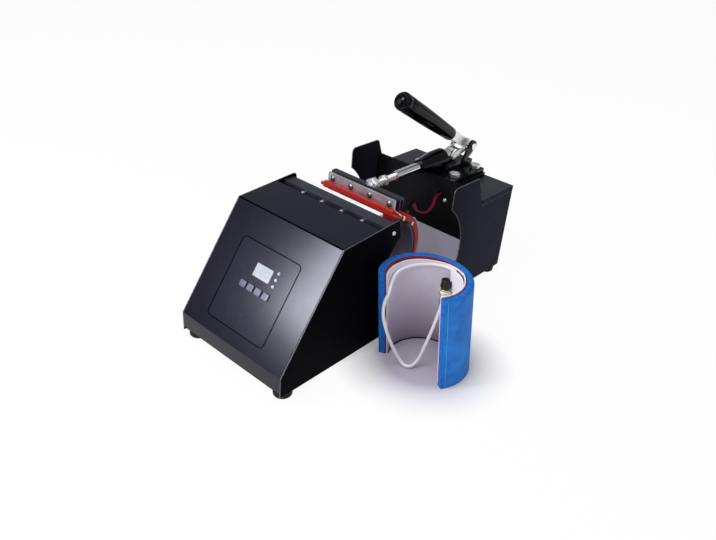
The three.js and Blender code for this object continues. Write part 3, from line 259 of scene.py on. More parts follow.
metals = {
    "stripAlloy": (
        (0.46, 0.41, 0.44), (0.68, 0.63, 0.66), (0.42, 0.55), 6,
        {"stretch": (6, 260, 260), "bump": 0.2},
    ),
    "zincPlate": ((0.78, 0.78, 0.79), (0.88, 0.88, 0.87), (0.24, 0.36), 300),
    # A darker copy of the zinc for the moving strip's screws: painted shade
    "darkZinc": ((0.2, 0.2, 0.22), (0.32, 0.32, 0.34), (0.16, 0.24), 300),
    "whiteZinc": ((0.86, 0.87, 0.88), (0.93, 0.93, 0.93), (0.36, 0.48), 260),
    "chromeRod": (
        (0.82, 0.82, 0.84), (0.88, 0.88, 0.9), (0.06, 0.12), 8,
        {"stretch": (260, 5, 260), "bump": 0.04},
    ),
    "goldPlate": ((0.75, 0.5, 0.18), (0.9, 0.68, 0.3), (0.2, 0.32), 300),
}
mouldings = {
    "fasciaFilm": ((0.005, 0.005, 0.0145), (0.007, 0.007, 0.0185), (0.17, 0.19), 0.27, {"bump": 0.01}),
    "blackPlastic": ((0.006, 0.006, 0.007), (0.011, 0.011, 0.013), (0.34, 0.45), 0.4, {"bump": 0.06}),
    "footRubber": ((0.006, 0.006, 0.007), (0.012, 0.012, 0.013), (0.6, 0.75), 0.2),
    "gripRubber": ((0.0006, 0.0006, 0.0024), (0.001, 0.001, 0.0034), (0.1, 0.13), 0.12, {"bump": 0}),
    "windowClear": ((0.4, 0.415, 0.45), (0.48, 0.495, 0.53), (0.12, 0.2), 0.5, {"bump": 0.02}),
    "digitInk": ((0.25, 0.3, 0.25), (0.3, 0.35, 0.3), (0.2, 0.3), 0.4, {"bump": 0.02}),
    "lampClear": ((0.5, 0.51, 0.56), (0.6, 0.61, 0.66), (0.08, 0.14), 0.6, {"bump": 0.02}),
    "boardGreen": ((0.01, 0.08, 0.03), (0.015, 0.11, 0.045), (0.35, 0.45), 0.4),
    "buttonGrey": ((0.07, 0.07, 0.115), (0.11, 0.11, 0.17), (0.14, 0.2), 0.7, {"bump": 0.02}),
    # This near-white finish paints the strips' highlights: their edges, and the whole fixed strip as painted
    # reflection
    "stripEdge": ((0.82, 0.78, 0.81), (0.88, 0.85, 0.87), (0.25, 0.35), 0.6, {"bump": 0.02}),
    "redSilicone": (
        (0.3, 0.007, 0.003), (0.4, 0.014, 0.005), (0.42, 0.56), 0.3,
        {"fine": 900, "bump": 0.2, "dimples": (160, 0.16)},
    ),
    # This dark red colours the spare wrap's heater, and the strip that paints the shaded gap behind the flap
    "heaterLayer": ((0.17, 0.005, 0.02), (0.25, 0.01, 0.03), (0.5, 0.65), 0.25),
    # This dark finish colours the wrap's piping, and paints the shade along the spare lining's foot
    "darkSeam": ((0.006, 0.004, 0.005), (0.012, 0.008, 0.009), (0.5, 0.65), 0.2),
    # The heated wrap's lining is a darker copy of the pale lining cloth: painted shade
    "wrapCloth": (
        (0.16, 0.12, 0.155), (0.23, 0.18, 0.22), (0.5, 0.65), 0.3,
        {"fine": 700, "bump": 0.3, "dimples": (70, 0.25)},
    ),
    "linerCloth": (
        (0.8, 0.74, 0.82), (0.9, 0.85, 0.92), (0.5, 0.65), 0.3,
        # The lining's foot colour is painted shade, darker towards the floor
        {"foot": ((0.26, 0.2, 0.27), -0.01, 0.115), "fine": 700, "bump": 0.2, "dimples": (70, 0.2)},
    ),
    "linerRim": ((0.84, 0.8, 0.83), (0.9, 0.87, 0.89), (0.5, 0.65), 0.3, {"bump": 0.1}),
    "blueFoam": (
        (0.014, 0.16, 0.56), (0.026, 0.25, 0.74), (0.55, 0.75), 0.2,
        {"cloud": 55, "fine": 1300, "bump": 0.4, "dimples": (220, 0.35)},
    ),
    # A darker blue with coarser pores for the foam's cut ends and top; on the ends it paints their shade
    "blueCut": (
        (0.009, 0.1, 0.4), (0.017, 0.17, 0.6), (0.6, 0.8), 0.15,
        {"cloud": 160, "fine": 1600, "bump": 0.5},
    ),
    # The pressed line's lighter blue is a painted highlight
    "blueSeam": ((0.05, 0.32, 0.8), (0.08, 0.4, 0.86), (0.5, 0.6), 0.3, {"bump": 0.1}),
    "redWire": ((0.14, 0.008, 0.012), (0.2, 0.012, 0.018), (0.28, 0.4), 0.4, {"bump": 0.05}),
    "blackSleeve": ((0.0012, 0.0012, 0.0015), (0.002, 0.002, 0.0025), (0.5, 0.6), 0.05, {"bump": 0.1}),
    "whiteWire": ((0.8, 0.78, 0.82), (0.87, 0.85, 0.88), (0.3, 0.42), 0.4, {"bump": 0.05}),
}
finishes = {}
for makeFinish, looks in ((powderCoat, paints), (bareMetal, metals), (moulded, mouldings)):
    for finishName, look in looks.items():
        finishes[finishName] = makeFinish(finishName, *look[:4], **(look[4] if look[4:] else {}))
print("finishes made:", len(finishes))

# Mesh helpers
tiny = 1e-9  # metres, below which a length counts as none
sharpAngles = {"crisp": 35, "round": 50, "soft": 60}  # degrees from which an edge stays sharp


def meshFrom(shape):
    mesh = bpy.data.meshes.new("shape")
    shape.to_mesh(mesh)
    shape.free()
    return mesh


def keepMesh(shape, kind="crisp"):
    bmesh.ops.recalc_face_normals(shape, faces=shape.faces)
    for edge in shape.edges:
        edge.smooth = len(edge.link_faces) == 2 and edge.calc_face_angle(0) < math.radians(sharpAngles[kind])
    for face in shape.faces:
        face.smooth = True
    return meshFrom(shape)


def newPiece(name, mesh, finishName, secondFinish=None):
    piece = addObject(name, mesh)
    mesh.name = name
    if mesh.materials:  # clearing an empty list would still reset which face has which finish
        mesh.materials.clear()
    mesh.materials.append(finishes[finishName])
    if secondFinish:
        mesh.materials.append(finishes[secondFinish])
    return piece


def evaluatedMesh(thing):
    return bpy.data.meshes.new_from_object(thing.evaluated_get(bpy.context.evaluated_depsgraph_get()))


def evenly(start, end, count):
    # The values from start to end in a number of equal steps
    return [start + (end - start) * step / count for step in range(count + 1)]


def eased(share):
    return share * share * (3 - 2 * share)


def turnedMesh(profile, steps, kind="round"):
    # profile is (along, radius) in millimetres, along +Z, and is closed where the radius is 0
    shape = bmesh.new()
    rings = []
    for along, radius in profile:
        rings.append([])
        for index in range(steps if radius > 0 else 1):
            x, y = (radius * turned(2 * math.pi * index / steps) / 1000 for turned in (math.cos, math.sin))
            rings[-1].append(shape.verts.new((x, y, along / 1000)))
    for low, high in zip(rings, rings[1:]):
        for index in range(steps):
            after = (index + 1) % steps
            around = ((low, index), (low, after), (high, after), (high, index))
            corners = list(dict.fromkeys(ring[turn % len(ring)] for ring, turn in around))
            if len(corners) > 2:
                shape.faces.new(corners)
    return keepMesh(shape, kind)


def blockMesh(middle, size):
    # A block with its middle and its size in millimetres
    shape = bmesh.new()
    bmesh.ops.create_cube(shape, size=1)
    bmesh.ops.scale(shape, vec=Vector(size) / 1000, verts=shape.verts)
    bmesh.ops.translate(shape, vec=Vector(middle) / 1000, verts=shape.verts)
    return keepMesh(shape)


def stood(mesh, point, axis):
    # Turns a mesh made along +Z to the axis and moves its foot to the point
    turn = upward.rotation_difference(Vector(axis).normalized()).to_matrix().to_4x4()
    mesh.transform(Matrix.Translation(point) @ turn)
    return mesh


def joinedMesh(meshes):
    shape = bmesh.new()
    for mesh in meshes:
        shape.from_mesh(mesh)
    return meshFrom(shape)


def smoothRoute(points, count, fineSteps=24, knotPower=0.5):
    # A Catmull-Rom line through the points, centripetal at this power, which is the line of the leads
    route = [place(*point) for point in points]
    route = [2 * route[0] - route[1], *route, 2 * route[-1] - route[-2]]
    fine = []
    for first, start, end, last in zip(route, route[1:], route[2:], route[3:]):
        knots = [0]
        for one, two in ((first, start), (start, end), (end, last)):
            knots.append(knots[-1] + max((two - one).length, tiny) ** knotPower)
        for step in range(fineSteps):
            t = knots[1] + (knots[2] - knots[1]) * step / fineSteps
            a = first.lerp(start, (t - knots[0]) / (knots[1] - knots[0]))
            b = start.lerp(end, (t - knots[1]) / (knots[2] - knots[1]))
            c = end.lerp(last, (t - knots[2]) / (knots[3] - knots[2]))
            d = a.lerp(b, (t - knots[0]) / (knots[2] - knots[0]))
            e = b.lerp(c, (t - knots[1]) / (knots[3] - knots[1]))
            fine.append(d.lerp(e, (t - knots[1]) / (knots[2] - knots[1])))
    fine.append(route[-2])
    lengths = [0]
    for one, two in zip(fine, fine[1:]):
        lengths.append(lengths[-1] + (two - one).length)
    even = []
    for index in range(count):
        wanted = lengths[-1] * index / (count - 1)
        spot = next(i for i in range(1, len(lengths)) if lengths[i] >= wanted - tiny)
        share = (wanted - lengths[spot - 1]) / max(lengths[spot] - lengths[spot - 1], tiny)
        even.append(fine[spot - 1].lerp(fine[spot], share))
    return even, lengths[-1]


def skin(shape, rings, closed=False):
    # Faces between rings that have equally many points, and over both ends of an open row
    for low, high in zip(rings, rings[1:] + rings[:1] if closed else rings[1:]):
        for index in range(len(low)):
            after = (index + 1) % len(low)
            shape.faces.new((low[index], low[after], high[after], high[index]))
    if not closed:
        shape.faces.new(list(reversed(rings[0])))
        shape.faces.new(rings[-1])


def tubeShape(shape, route, radius, sides=8, closed=False, side=None):
    # Adds a tube along the route; its radius is in millimetres
    rings = []
    count = len(route)
    reach = radius / 1000
    turns = [2 * math.pi * turn / sides for turn in range(sides)]
    for index, point in enumerate(route):
        if closed:
            ahead = route[(index + 1) % count] - route[index - 1]
        else:
            ahead = route[min(index + 1, count - 1)] - route[max(index - 1, 0)]
        ahead.normalize()
        if side is None:
            side = ahead.orthogonal().normalized()
        side = (side - ahead * side.dot(ahead)).normalized()
        other = ahead.cross(side)
        spots = [point + reach * math.cos(turn) * side + reach * math.sin(turn) * other for turn in turns]
        rings.append([shape.verts.new(spot) for spot in spots])
    skin(shape, rings, closed)


def tubeMesh(routes, radius, sides=8):
    shape = bmesh.new()
    for route in routes:
        tubeShape(shape, route, radius, sides)
    return keepMesh(shape, "soft")


# Geometry Nodes: parts that repeat or wind
def partTree(name, inputs):
    tree = bpy.data.node_groups.new(name, "GeometryNodeTree")
    tree.interface.new_socket("Geometry", in_out="INPUT", socket_type="NodeSocketGeometry")
    tree.interface.new_socket("Geometry", in_out="OUTPUT", socket_type="NodeSocketGeometry")
    for label, kind in {"Finish": "Material", **inputs}.items():
        tree.interface.new_socket(label, in_out="INPUT", socket_type="NodeSocket" + kind)
    return tree, addNode(tree, "NodeGroupInput").outputs


def endTree(tree, given, geometry):
    whole = addNode(tree, "GeometryNodeRealizeInstances", {0: geometry}).outputs[0]
    dressed = addNode(tree, "GeometryNodeSetMaterial", {"Geometry": whole, "Material": given["Finish"]})
    addNode(tree, "NodeGroupOutput", {0: dressed.outputs[0]})
    return tree


def endWithItems(tree, given, points, **more):
    # The item stands on each point
    item = addNode(tree, "GeometryNodeObjectInfo", {"Object": given["Item"]}).outputs["Geometry"]
    placed = addNode(tree, "GeometryNodeInstanceOnPoints", {"Points": points, "Instance": item, **more})
    return endTree(tree, given, placed.outputs[0])


def pointsTree():
    # Items on the points of the mesh that carries the modifier
    tree, given = partTree("itemsOnPoints", {"Item": "Object"})
    return endWithItems(tree, given, given["Geometry"])


def rowTree():
    # Items in a straight row
    inputs = {"Item": "Object", "Count": "Int", "Start": "Vector", "Step": "Vector"}
    tree, given = partTree("itemsInRow", inputs)
    sockets = {"Count": given["Count"], "Start Location": given["Start"], "Offset": given["Step"]}
    return endWithItems(tree, given, addNode(tree, "GeometryNodeMeshLine", sockets).outputs[0])


def ringTree():
    # Items round the Z axis, each turned to face outwards
    tree, given = partTree("itemsInRing", {"Item": "Object", "Count": "Int", "Radius": "Float"})
    ring = addNode(tree, "GeometryNodeMeshCircle", {"Vertices": given["Count"], "Radius": given["Radius"]})
    step = reckoned(tree, "DIVIDE", 2 * math.pi, given["Count"])
    turn = reckoned(tree, "MULTIPLY", addNode(tree, "GeometryNodeInputIndex").outputs[0], step)
    turned = addNode(tree, "ShaderNodeCombineXYZ", {"Z": turn}).outputs[0]
    return endWithItems(tree, given, ring.outputs[0], Rotation=turned)


def threadTree():
    # A ridge wound round the Z axis
    inputs = {"Turns": "Float", "Radius": "Float", "Ridge": "Float", "Length": "Float"}
    tree, given = partTree("woundThread", inputs)
    sockets = {"Resolution": 20, "Rotations": given["Turns"], "Height": given["Length"]}
    sockets.update({"Start Radius": given["Radius"], "End Radius": given["Radius"]})
    spiral = addNode(tree, "GeometryNodeCurveSpiral", sockets).outputs[0]
    section = addNode(tree, "GeometryNodeCurvePrimitiveCircle", {"Resolution": 5, "Radius": given["Ridge"]})
    sockets = {"Curve": spiral, "Profile Curve": section.outputs[0], "Fill Caps": True}
    return endTree(tree, given, addNode(tree, "GeometryNodeCurveToMesh", sockets).outputs[0])


itemsOnPoints = pointsTree()
itemsInRow = rowTree()
itemsInRing = ringTree()
woundThread = threadTree()


def grown(tree, finishName, values, item=None, points=()):
    # Runs a tree once and returns its result as a plain mesh
    carried = bpy.data.meshes.new("points")
    if points:
        carried.from_pydata(points, [], [])
    added = [addObject("holder", carried)]
    values = {**values, "Finish": finishes[finishName]}
    if item:
        added.append(addObject("item", item))
        values["Item"] = added[1]
    modifier = added[0].modifiers.new("tree", "NODES")
    modifier.node_group = tree
    for socket in tree.interface.items_tree:
        if socket.item_type == "SOCKET" and socket.in_out == "INPUT" and socket.name in values:
            modifier[socket.identifier] = values[socket.name]
    mesh = evaluatedMesh(added[0])
    for helper in added:
        bpy.data.objects.remove(helper)
    return mesh


# Cords: the spare wrap's lead, and the twin lead from the heated wrap to the rear wall
spareLead = {
    "radius": 2,
    "steps": 200,
    "route": [
        (162.16, 196.24, 110.5), (157.19, 198.9, 110.4), (147.77, 201.87, 109.8), (136.55, 202.43, 108.6),
        (125.66, 199.93, 107), (115.94, 194.54, 105.2), (108.13, 186.65, 103.6), (102.86, 176.89, 102.2),
        (100.67, 167.48, 100.6), (101.9, 157.4, 98), (104.7, 148.9, 92.2), (107.6, 142.3, 84.2),
        (107.4, 136.6, 74.5), (109.3, 133.8, 60), (115.8, 137.5, 34), (123.5, 145, 10), (129.5, 150, -3),
        (137, 150, -6.2), (143, 153.5, -5), (146.2, 160, 1), (148.4, 168, 19), (148.6, 178, 38),
        (147.9, 186.5, 54), (147.15, 191.4, 63.6), (147.01, 192.33, 67.7),
    ],
}
twinLead = {
    "radius": 1,
    "apart": 2.05,
    "steps": 90,
    "sleeveRadius": 2.5,
    "sleeveSteps": (2, 16),
    "blendFrom": 332,
    "blendTo": 240,
    "route": [
        (56, 229.3, 136.8), (56, 233.5, 143), (54.5, 240, 149), (52, 247, 143), (50, 254.5, 132.5),
        (48.5, 265, 124), (47.5, 278, 118), (45, 292, 115.2), (40.5, 306, 115.6), (34, 319, 117.4),
        (29.6, 330, 119), (28.5, 338, 119.2), (28.5, 346, 119.2),
    ],
}


def makeSpareLead(values, line):
    curve = bpy.data.curves.new("spare_lead_cord", "CURVE")
    curve.dimensions = "3D"
    curve.bevel_depth = values["radius"] / 1000
    curve.bevel_resolution = 4
    curve.use_fill_caps = True
    spline = curve.splines.new("POLY")
    spline.points.add(len(line) - 1)
    for spot, point in zip(spline.points, line):
        spot.co = (*point, 1)
    spline.use_smooth = True
    curve.materials.append(finishes["whiteWire"])
    piece = addObject("spare_lead_cord", curve)
    return piece


def makeTwinLead(values, line):
    half = values["apart"] / 2000
    wires = ([], [])
    for index, point in enumerate(line):
        ahead = line[min(index + 1, len(line) - 1)] - line[max(index - 1, 0)]
        across = ahead.cross(upward)
        if across.length < tiny:
            across = rightward
        for sign, wire in zip((-1, 1), wires):
            wire.append(point + sign * half * across.normalized())
    return newPiece("twin_lead", tubeMesh(wires, values["radius"], sides=12), "redWire")


spareLine, spareLength = smoothRoute(spareLead["route"], spareLead["steps"])
twinLine, twinLength = smoothRoute(twinLead["route"], twinLead["steps"])
spareCord = makeSpareLead(spareLead, spareLine)
twinCord = makeTwinLead(twinLead, twinLine)
sleeveLine = twinLine[slice(*twinLead["sleeveSteps"])]
sleeveMesh = tubeMesh([sleeveLine], twinLead["sleeveRadius"], sides=14)
leadSleeve = newPiece("lead_sleeve", sleeveMesh, "blackSleeve")
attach(spareCord, "spare")
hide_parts("spare_lead")
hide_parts("wrap_lead")
for piece in (twinCord, leadSleeve):
    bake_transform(piece)
print("leads made:", round(spareLength, 4), round(twinLength, 4))

# Connector on the spare lead: metal tail and knurled collar, bright ring, gilt gland, black neck and a black
# cap with a bowl
connector = {
    "tail": [(0, 0), (0, 3.2), (0.6, 3.9), (4.2, 4.1), (4.8, 3.6), (4.8, 0)],
    "collar": [
        (4.4, 0), (4.4, 5.4), (4.9, 6.1), (6.2, 6.4), (6.6, 5.9), (10.2, 5.9),
        (10.6, 6.5), (12.2, 6.5), (12.7, 5.8), (12.7, 0),
    ],
    "ring": [
        (12.4, 0), (12.4, 6.9), (12.9, 7.5), (13.6, 7.7), (15.3, 7.7), (15.9, 7.4), (16.3, 6.8), (16.3, 0),
    ],
    "gland": [(16, 0), (16, 5.7), (17.6, 5.7), (18.1, 5.2), (18.1, 0)],
    "neck": [(17.8, 0), (17.8, 4.9), (20.2, 4.9), (20.2, 0)],
    "cap": [
        (19.6, 0), (19.6, 5.0), (20.2, 6.0), (21.0, 6.5), (25.0, 6.35), (28.6, 6.5), (29.5, 6.2),
        (29.9, 5.6), (29.4, 5.0), (27.2, 4.6), (26.8, 0),
    ],
    "gap": 0.0003,  # metres from the end of the lead
    "ribs": 26,
    "ribSize": (0.5, 0.45, 3.4),  # out, across and along
    "ribRadius": 5.9,
    "ribAlong": 8.4,
    "steps": 40,
}


def makeConnector(values):
    axis = (spareLine[-1] - spareLine[-2]).normalized()
    foot = spareLine[-1] + values["gap"] * axis
    made = {
        name: stood(turnedMesh(values[name], values["steps"]), foot, axis)
        for name in ("tail", "collar", "ring", "gland", "neck", "cap")
    }
    rib = blockMesh((0, 0, values["ribAlong"]), values["ribSize"])
    settings = {"Count": values["ribs"], "Radius": values["ribRadius"] / 1000}
    made["knurl"] = stood(grown(itemsInRing, "zincPlate", settings, rib), foot, axis)
    return made


made = makeConnector(connector)
collarMesh = joinedMesh([made["tail"], made["collar"], made["knurl"]])
connectorMetal = newPiece("connector_collar", collarMesh, "zincPlate")
connectorRing = newPiece("connector_ring", made["ring"], "whiteZinc")
connectorGland = newPiece("connector_gland", made["gland"], "goldPlate")
capMesh = joinedMesh([made["neck"], made["cap"]])
connectorCap = newPiece("connector_cap", capMesh, "blackPlastic")
for piece in (connectorMetal, connectorRing, connectorGland, connectorCap):
    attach(piece, "spare")
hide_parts("spare_connector")
print("connector made")


# Bands: a strip of rounded section that follows a line, used for the wraps and their linings
cornerLimits = {"most": 0.98, "least": 0.02}  # of half the thickness, and in millimetres


def bandShape(stations, width, rounding, columns=14, cornerSteps=5):
    # A station is the middle of the strip, the outward direction, the direction across, the thickness and the
    # inset by which its section shrinks
    shape = bmesh.new()
    rings = []
    for middle, outward, across, thickness, inset in stations:
        half = width / 2 - inset
        deep = thickness / 2 - inset
        corner = max(min(rounding - inset, deep * cornerLimits["most"]), cornerLimits["least"])
        section = []
        for sign in (1, -1):
            for step in range(columns + 1):
                section.append((sign * (half - corner) * (2 * step / columns - 1), sign * deep))
            for step in range(1, cornerSteps):
                turn = math.pi / 2 - math.pi * step / cornerSteps
                u = half - corner + corner * math.cos(turn)
                v = (deep - corner) * (1 if turn > 0 else -1) + corner * math.sin(turn)
                section.append((sign * u, sign * v))
        points = [middle + across * (u / 1000) + outward * (v / 1000) for u, v in section]
        rings.append([shape.verts.new(point) for point in points])
    skin(shape, rings)
    return shape


def roundedEnds(stations, rounding, steps=4, shrink=0.94):
    # Adds stations at both ends whose sections shrink along a quarter circle
    def end(last, beforeLast):
        ahead = (last[0] - beforeLast[0]).normalized()
        added = []
        for turn in evenly(0, math.pi / 2, steps)[1:]:
            middle = last[0] + ahead * (rounding * math.sin(turn) / 1000)
            added.append((middle, *last[1:4], rounding * (1 - math.cos(turn)) * shrink))
        return added

    return [*reversed(end(stations[0], stations[1])), *stations, *end(stations[-1], stations[-2])]


def bandMesh(stations, width, ends, sides, columns=14):
    # ends and sides are the roundings of the strip, in millimetres
    return keepMesh(bandShape(roundedEnds(stations, ends), width, sides, columns), "round")


# Heated wrap: one loop of red silicone from the fixed jaw round to the moving jaw, with its white lining
heatedWrap = {
    "middle": (198, 92),
    "backingInner": 44.8,
    "backingOuter": 53.9,
    "backingRounding": (1.4, 1.6),  # at the ends and along the sides
    "thinning": (5, 1),  # from and to, below the foot of a jaw
    "matThickness": 4.5,
    "matOverlap": 3,
    "matRounding": 1,
    "width": 126,
    "movingNose": 203.4,
    # The Y, foot, top, X and width of the flat ends of the mat
    "fixedEnd": (175.3, 136.6, 150.9, 0, 114),
    "movingEnd": (213, 140.6, 152.5, -3.3, 104),
    "fold": (202.3, 137.4, 146.8, -0.5, 114),
    "pipingRadius": 0.55,
    "swell": (2.0, 1.6),  # over the whole width, and more towards the left
    "swellTurn": 0.145,  # radians from the mat's end
    "swellSide": (0.04, 0.1),  # metres from the middle, and over which it grows
    "liningInner": 42,
    "liningOuter": 44.5,
    "liningTop": 124,
    "liningStart": 0.04,  # radians after the mat's end
    "liningRounding": (0.8, 0.9),
    "columns": 24,
    "steps": 96,
    "endColumns": 20,
    "endSteps": 8,
    "blendFrom": 181,
    "blendTo": 206,
}


def wrapAngles(values):
    middleY = values["middle"][0]
    reach = values["backingInner"] + values["matThickness"] / 2
    front = math.pi - math.acos((middleY - values["fixedEnd"][0] - values["matThickness"] / 2) / reach)
    rear = math.acos((values["movingNose"] - middleY) / reach)
    return front - 2 * math.pi, rear


def wrapPoint(values, reach, angle, x=0):
    middleY, middleZ = values["middle"]
    return place(x, middleY + reach * math.cos(angle), middleZ + reach * math.sin(angle))


def wrapStation(values, angle, inner, outer, x=0):
    outward = Vector((0, math.cos(angle), math.sin(angle)))
    return (wrapPoint(values, (inner + outer) / 2, angle, x), outward, rightward, outer - inner, 0)


def wrapThickness(values, angle):
    # Full thickness below the jaws, thinning to the mat where it passes under them
    full = values["backingOuter"] - values["backingInner"]
    height = values["middle"][1] + values["backingOuter"] * math.sin(angle)
    foot = values["fixedEnd" if math.cos(angle) < 0 else "movingEnd"][1]
    first, last = values["thinning"]
    share = min(max((foot - last - height) / (first - last), 0), 1)
    return values["matThickness"] + (full - values["matThickness"]) * eased(share)


def makeWrap(values):
    front, rear = wrapAngles(values)
    inner = values["backingInner"]
    stations = [
        wrapStation(values, angle, inner, inner + wrapThickness(values, angle))
        for angle in evenly(front, rear, values["steps"])
    ]
    ends, sides = values["backingRounding"]
    shape = bandShape(roundedEnds(stations, ends), values["width"], sides, values["columns"])
    middle = place(0, *values["middle"])
    sideFrom, sideOver = values["swellSide"]
    for vertex in shape.verts:
        angle = math.atan2(vertex.co.z - middle.z, vertex.co.y - middle.y)
        near = 1 - abs(angle - rear) / values["swellTurn"]
        leftward = min(max((middle.x + sideFrom - vertex.co.x) / sideOver, 0), 1)
        if near > 0:
            vertex.co.z += (values["swell"][0] + values["swell"][1] * leftward) / 1000 * near
    return keepMesh(shape, "round")


def makePiping(values):
    # The dark stitched edge between the backing and the lining, on both sides
    reach = (values["liningOuter"] + values["backingInner"]) / 2
    angles = evenly(*wrapAngles(values), values["steps"])
    sides = (-values["width"] / 2, values["width"] / 2)
    routes = [[wrapPoint(values, reach, angle, x) for angle in angles] for x in sides]
    return tubeMesh(routes, values["pipingRadius"])


def makeMatEnd(values, y, foot, top, x, width):
    thick = values["matThickness"]
    rounding = values["matRounding"]
    heights = evenly(foot - values["matOverlap"], top - rounding, values["endSteps"])
    backward = Vector((0, 1, 0))
    stations = [(place(x, y + thick / 2, height), backward, rightward, thick, 0) for height in heights]
    return bandMesh(stations, width, rounding, rounding, values["endColumns"])


def makeLining(values):
    front = wrapAngles(values)[0]
    top = math.asin((values["liningTop"] - values["middle"][1]) / values["liningInner"])
    stations = [
        wrapStation(values, angle, values["liningInner"], values["liningOuter"])
        for angle in evenly(front + values["liningStart"], top, values["steps"])
    ]
    ends, sides = values["liningRounding"]
    return bandMesh(stations, values["width"] - ends, ends, sides, values["columns"])


def blendWrap(piece):
    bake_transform(piece)


wrapBacking = newPiece("wrap_backing", makeWrap(heatedWrap), "redSilicone")
# The lining's dark finish is painted shade on white cloth
wrapLining = newPiece("wrap_lining", makeLining(heatedWrap), "wrapCloth")
wrapPiping = newPiece("wrap_piping", makePiping(heatedWrap), "darkSeam")
for piece in (wrapBacking, wrapLining, wrapPiping):
    blendWrap(piece)
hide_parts("wrap_front", "wrap_rear")
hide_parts("wrap_liner_front", "wrap_liner_rear")
movingMesh = makeMatEnd(heatedWrap, *heatedWrap["movingEnd"])
movingMat = newPiece("moving_mat", movingMesh, "redSilicone")
matFold = newPiece("mat_fold", makeMatEnd(heatedWrap, *heatedWrap["fold"]), "redSilicone")
for piece in (movingMat, matFold):
    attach(piece, "plunger")
fixedMat = newPiece("fixed_mat", makeMatEnd(heatedWrap, *heatedWrap["fixedEnd"]), "linerRim")
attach(fixedMat, "housing")

# White tapes that tie the wrap's edge, and the pale edge of the heater's cloth along the mat
wrapTape = {
    "tapes": [(61.6, 63.9, 67.5, 70.5), (61.2, 64, 40.5, 44.5)],  # X from and to, degrees from and to
    "thickness": 0.7,
    "rounding": 0.3,
    "hanging": (4.4, 2.4, 0.9),  # height and reach in mm, and the share of the tape's length
    "edge": [(48.5, 214.2, 140.9), (54, 213.5, 140.9), (58.5, 212.6, 140.6), (62.2, 211.6, 140.1)],
    "edgeRadius": 0.55,
    "columns": 4,
    "steps": 6,
    "edgeSteps": 16,
}


def makeTapes(values, wrap):
    meshes = []
    thickness = values["thickness"]
    for left, right, start, end in values["tapes"]:
        stations = []
        for degrees in evenly(start, end, values["steps"]):
            inner = wrap["backingInner"] + wrapThickness(wrap, math.radians(degrees))
            x = (left + right) / 2
            stations.append(wrapStation(wrap, math.radians(degrees), inner, inner + thickness, x))
        meshes.append(keepMesh(bandShape(stations, right - left, values["rounding"], values["columns"])))
        # The part that hangs over the wrap's side
        angle = math.radians((start + end) / 2)
        height, reach, share = values["hanging"]
        long = math.radians(end - start) * wrap["backingOuter"] * share
        side = blockMesh((0, 0, 0), (thickness, long, height))
        spot = wrapPoint(wrap, wrap["backingInner"] + reach, angle, right)
        side.transform(Matrix.Translation(spot) @ Matrix.Rotation(angle - math.pi / 2, 4, "X"))
        meshes.append(side)
    edge = smoothRoute(values["edge"], values["edgeSteps"])[0]
    meshes.append(tubeMesh([edge], values["edgeRadius"]))
    return joinedMesh(meshes)


wrapTapes = newPiece("wrap_tapes", makeTapes(wrapTape, heatedWrap), "linerRim")
blendWrap(wrapTapes)
print("heated wrap made")

# Spare wrap: a C of blue foam on its lower edge, a red heater layer and a white lining, all leaning forward
spareWrap = {
    "middle": (143.65, 177.5),
    "foot": -8.5,
    "height": 122.4,
    # Each layer's inner and outer radius, how much it is shorter at top and foot, its rounding, and how many
    # degrees it stays back from the ends
    "foam": (46.2, 54.4, 0, 1.1, 1.2),
    "heater": (45.0, 46.15, 0.05, 0.5, 1.0),
    "lining": (43.75, 44.95, 0.2, 0.55, 0.9),
    "hemRadius": 0.85,
    "hemRise": 0.5,
    # Its waves over a radian, the row of noise they come from, and how far they go sideways and up
    "hemWave": (2.6, 0.4, 0.25, 0.7),
    "hemEnds": 1.5,  # degrees
    # The foot line paints the shade where the lining meets the floor
    "footShade": (43.3, 0.75, 2),  # its reach and radius, and the degrees that it stays back from the ends
    "sink": [(50, 0), (85, 2.2), (120, 5), (200, 5.5), (212, 5)],  # degrees and mm below the rim
    "sinkOver": 30,
    "from": -32,
    "to": 212.5,
    "lean": (-3, -16),
    "topShare": 0.974,
    "columns": 22,
    "steps": {"layers": 110, "tongues": 40, "hem": 140, "footShade": 100, "seam": 24},
    "seamAngle": -26,
    "seamRadius": 0.4,
    "seamSunk": 0.1,
    "seamEnds": 1.5,
    "flap": {"from": 8, "to": 76, "drop": 34, "inward": 5.6, "thickness": 1.3, "rise": 1.2},
    # The tongue is a dark red strip in the gap behind the flap: painted shade
    "tongue": {"from": 14, "to": 66, "drop": 30, "inward": 2.6, "thickness": 1.2, "rise": 0.2},
    "tongueGap": 0.15,
    "tongueWave": (4, 0.6),  # its waves over a radian, and how far it goes up
    "tongueRounding": 0.5,
    "cut": (0.002, 0.5),  # what counts as a cut face: radians past an end, and mm below the top
}


def leaned(mesh, values):
    foot = place(*values["middle"], values["foot"])
    leanX, leanY = values["lean"]
    for vertex in mesh.vertices:
        share = (vertex.co.z - foot.z) / (values["height"] / 1000)
        size = 1 + (values["topShare"] - 1) * share
        vertex.co.x = foot.x + (vertex.co.x - foot.x) * size + leanX / 1000 * share
        vertex.co.y = foot.y + (vertex.co.y - foot.y) * size + leanY / 1000 * share
    return mesh


def sparePoint(values, reach, angle, z):
    middleX, middleY = values["middle"]
    return place(middleX + reach * math.cos(angle), middleY + reach * math.sin(angle), z)


def spareStation(values, angle, inner, outer, z):
    outward = Vector((math.cos(angle), math.sin(angle), 0))
    return (sparePoint(values, (inner + outer) / 2, angle, z), outward, upward, outer - inner, 0)


def angleAt(point, middle, start, before=0.5):
    # The angle round the middle, counted on from a little before the start, in radians
    angle = math.atan2(point.y - middle.y, point.x - middle.x)
    return angle + 2 * math.pi if angle < start - before else angle


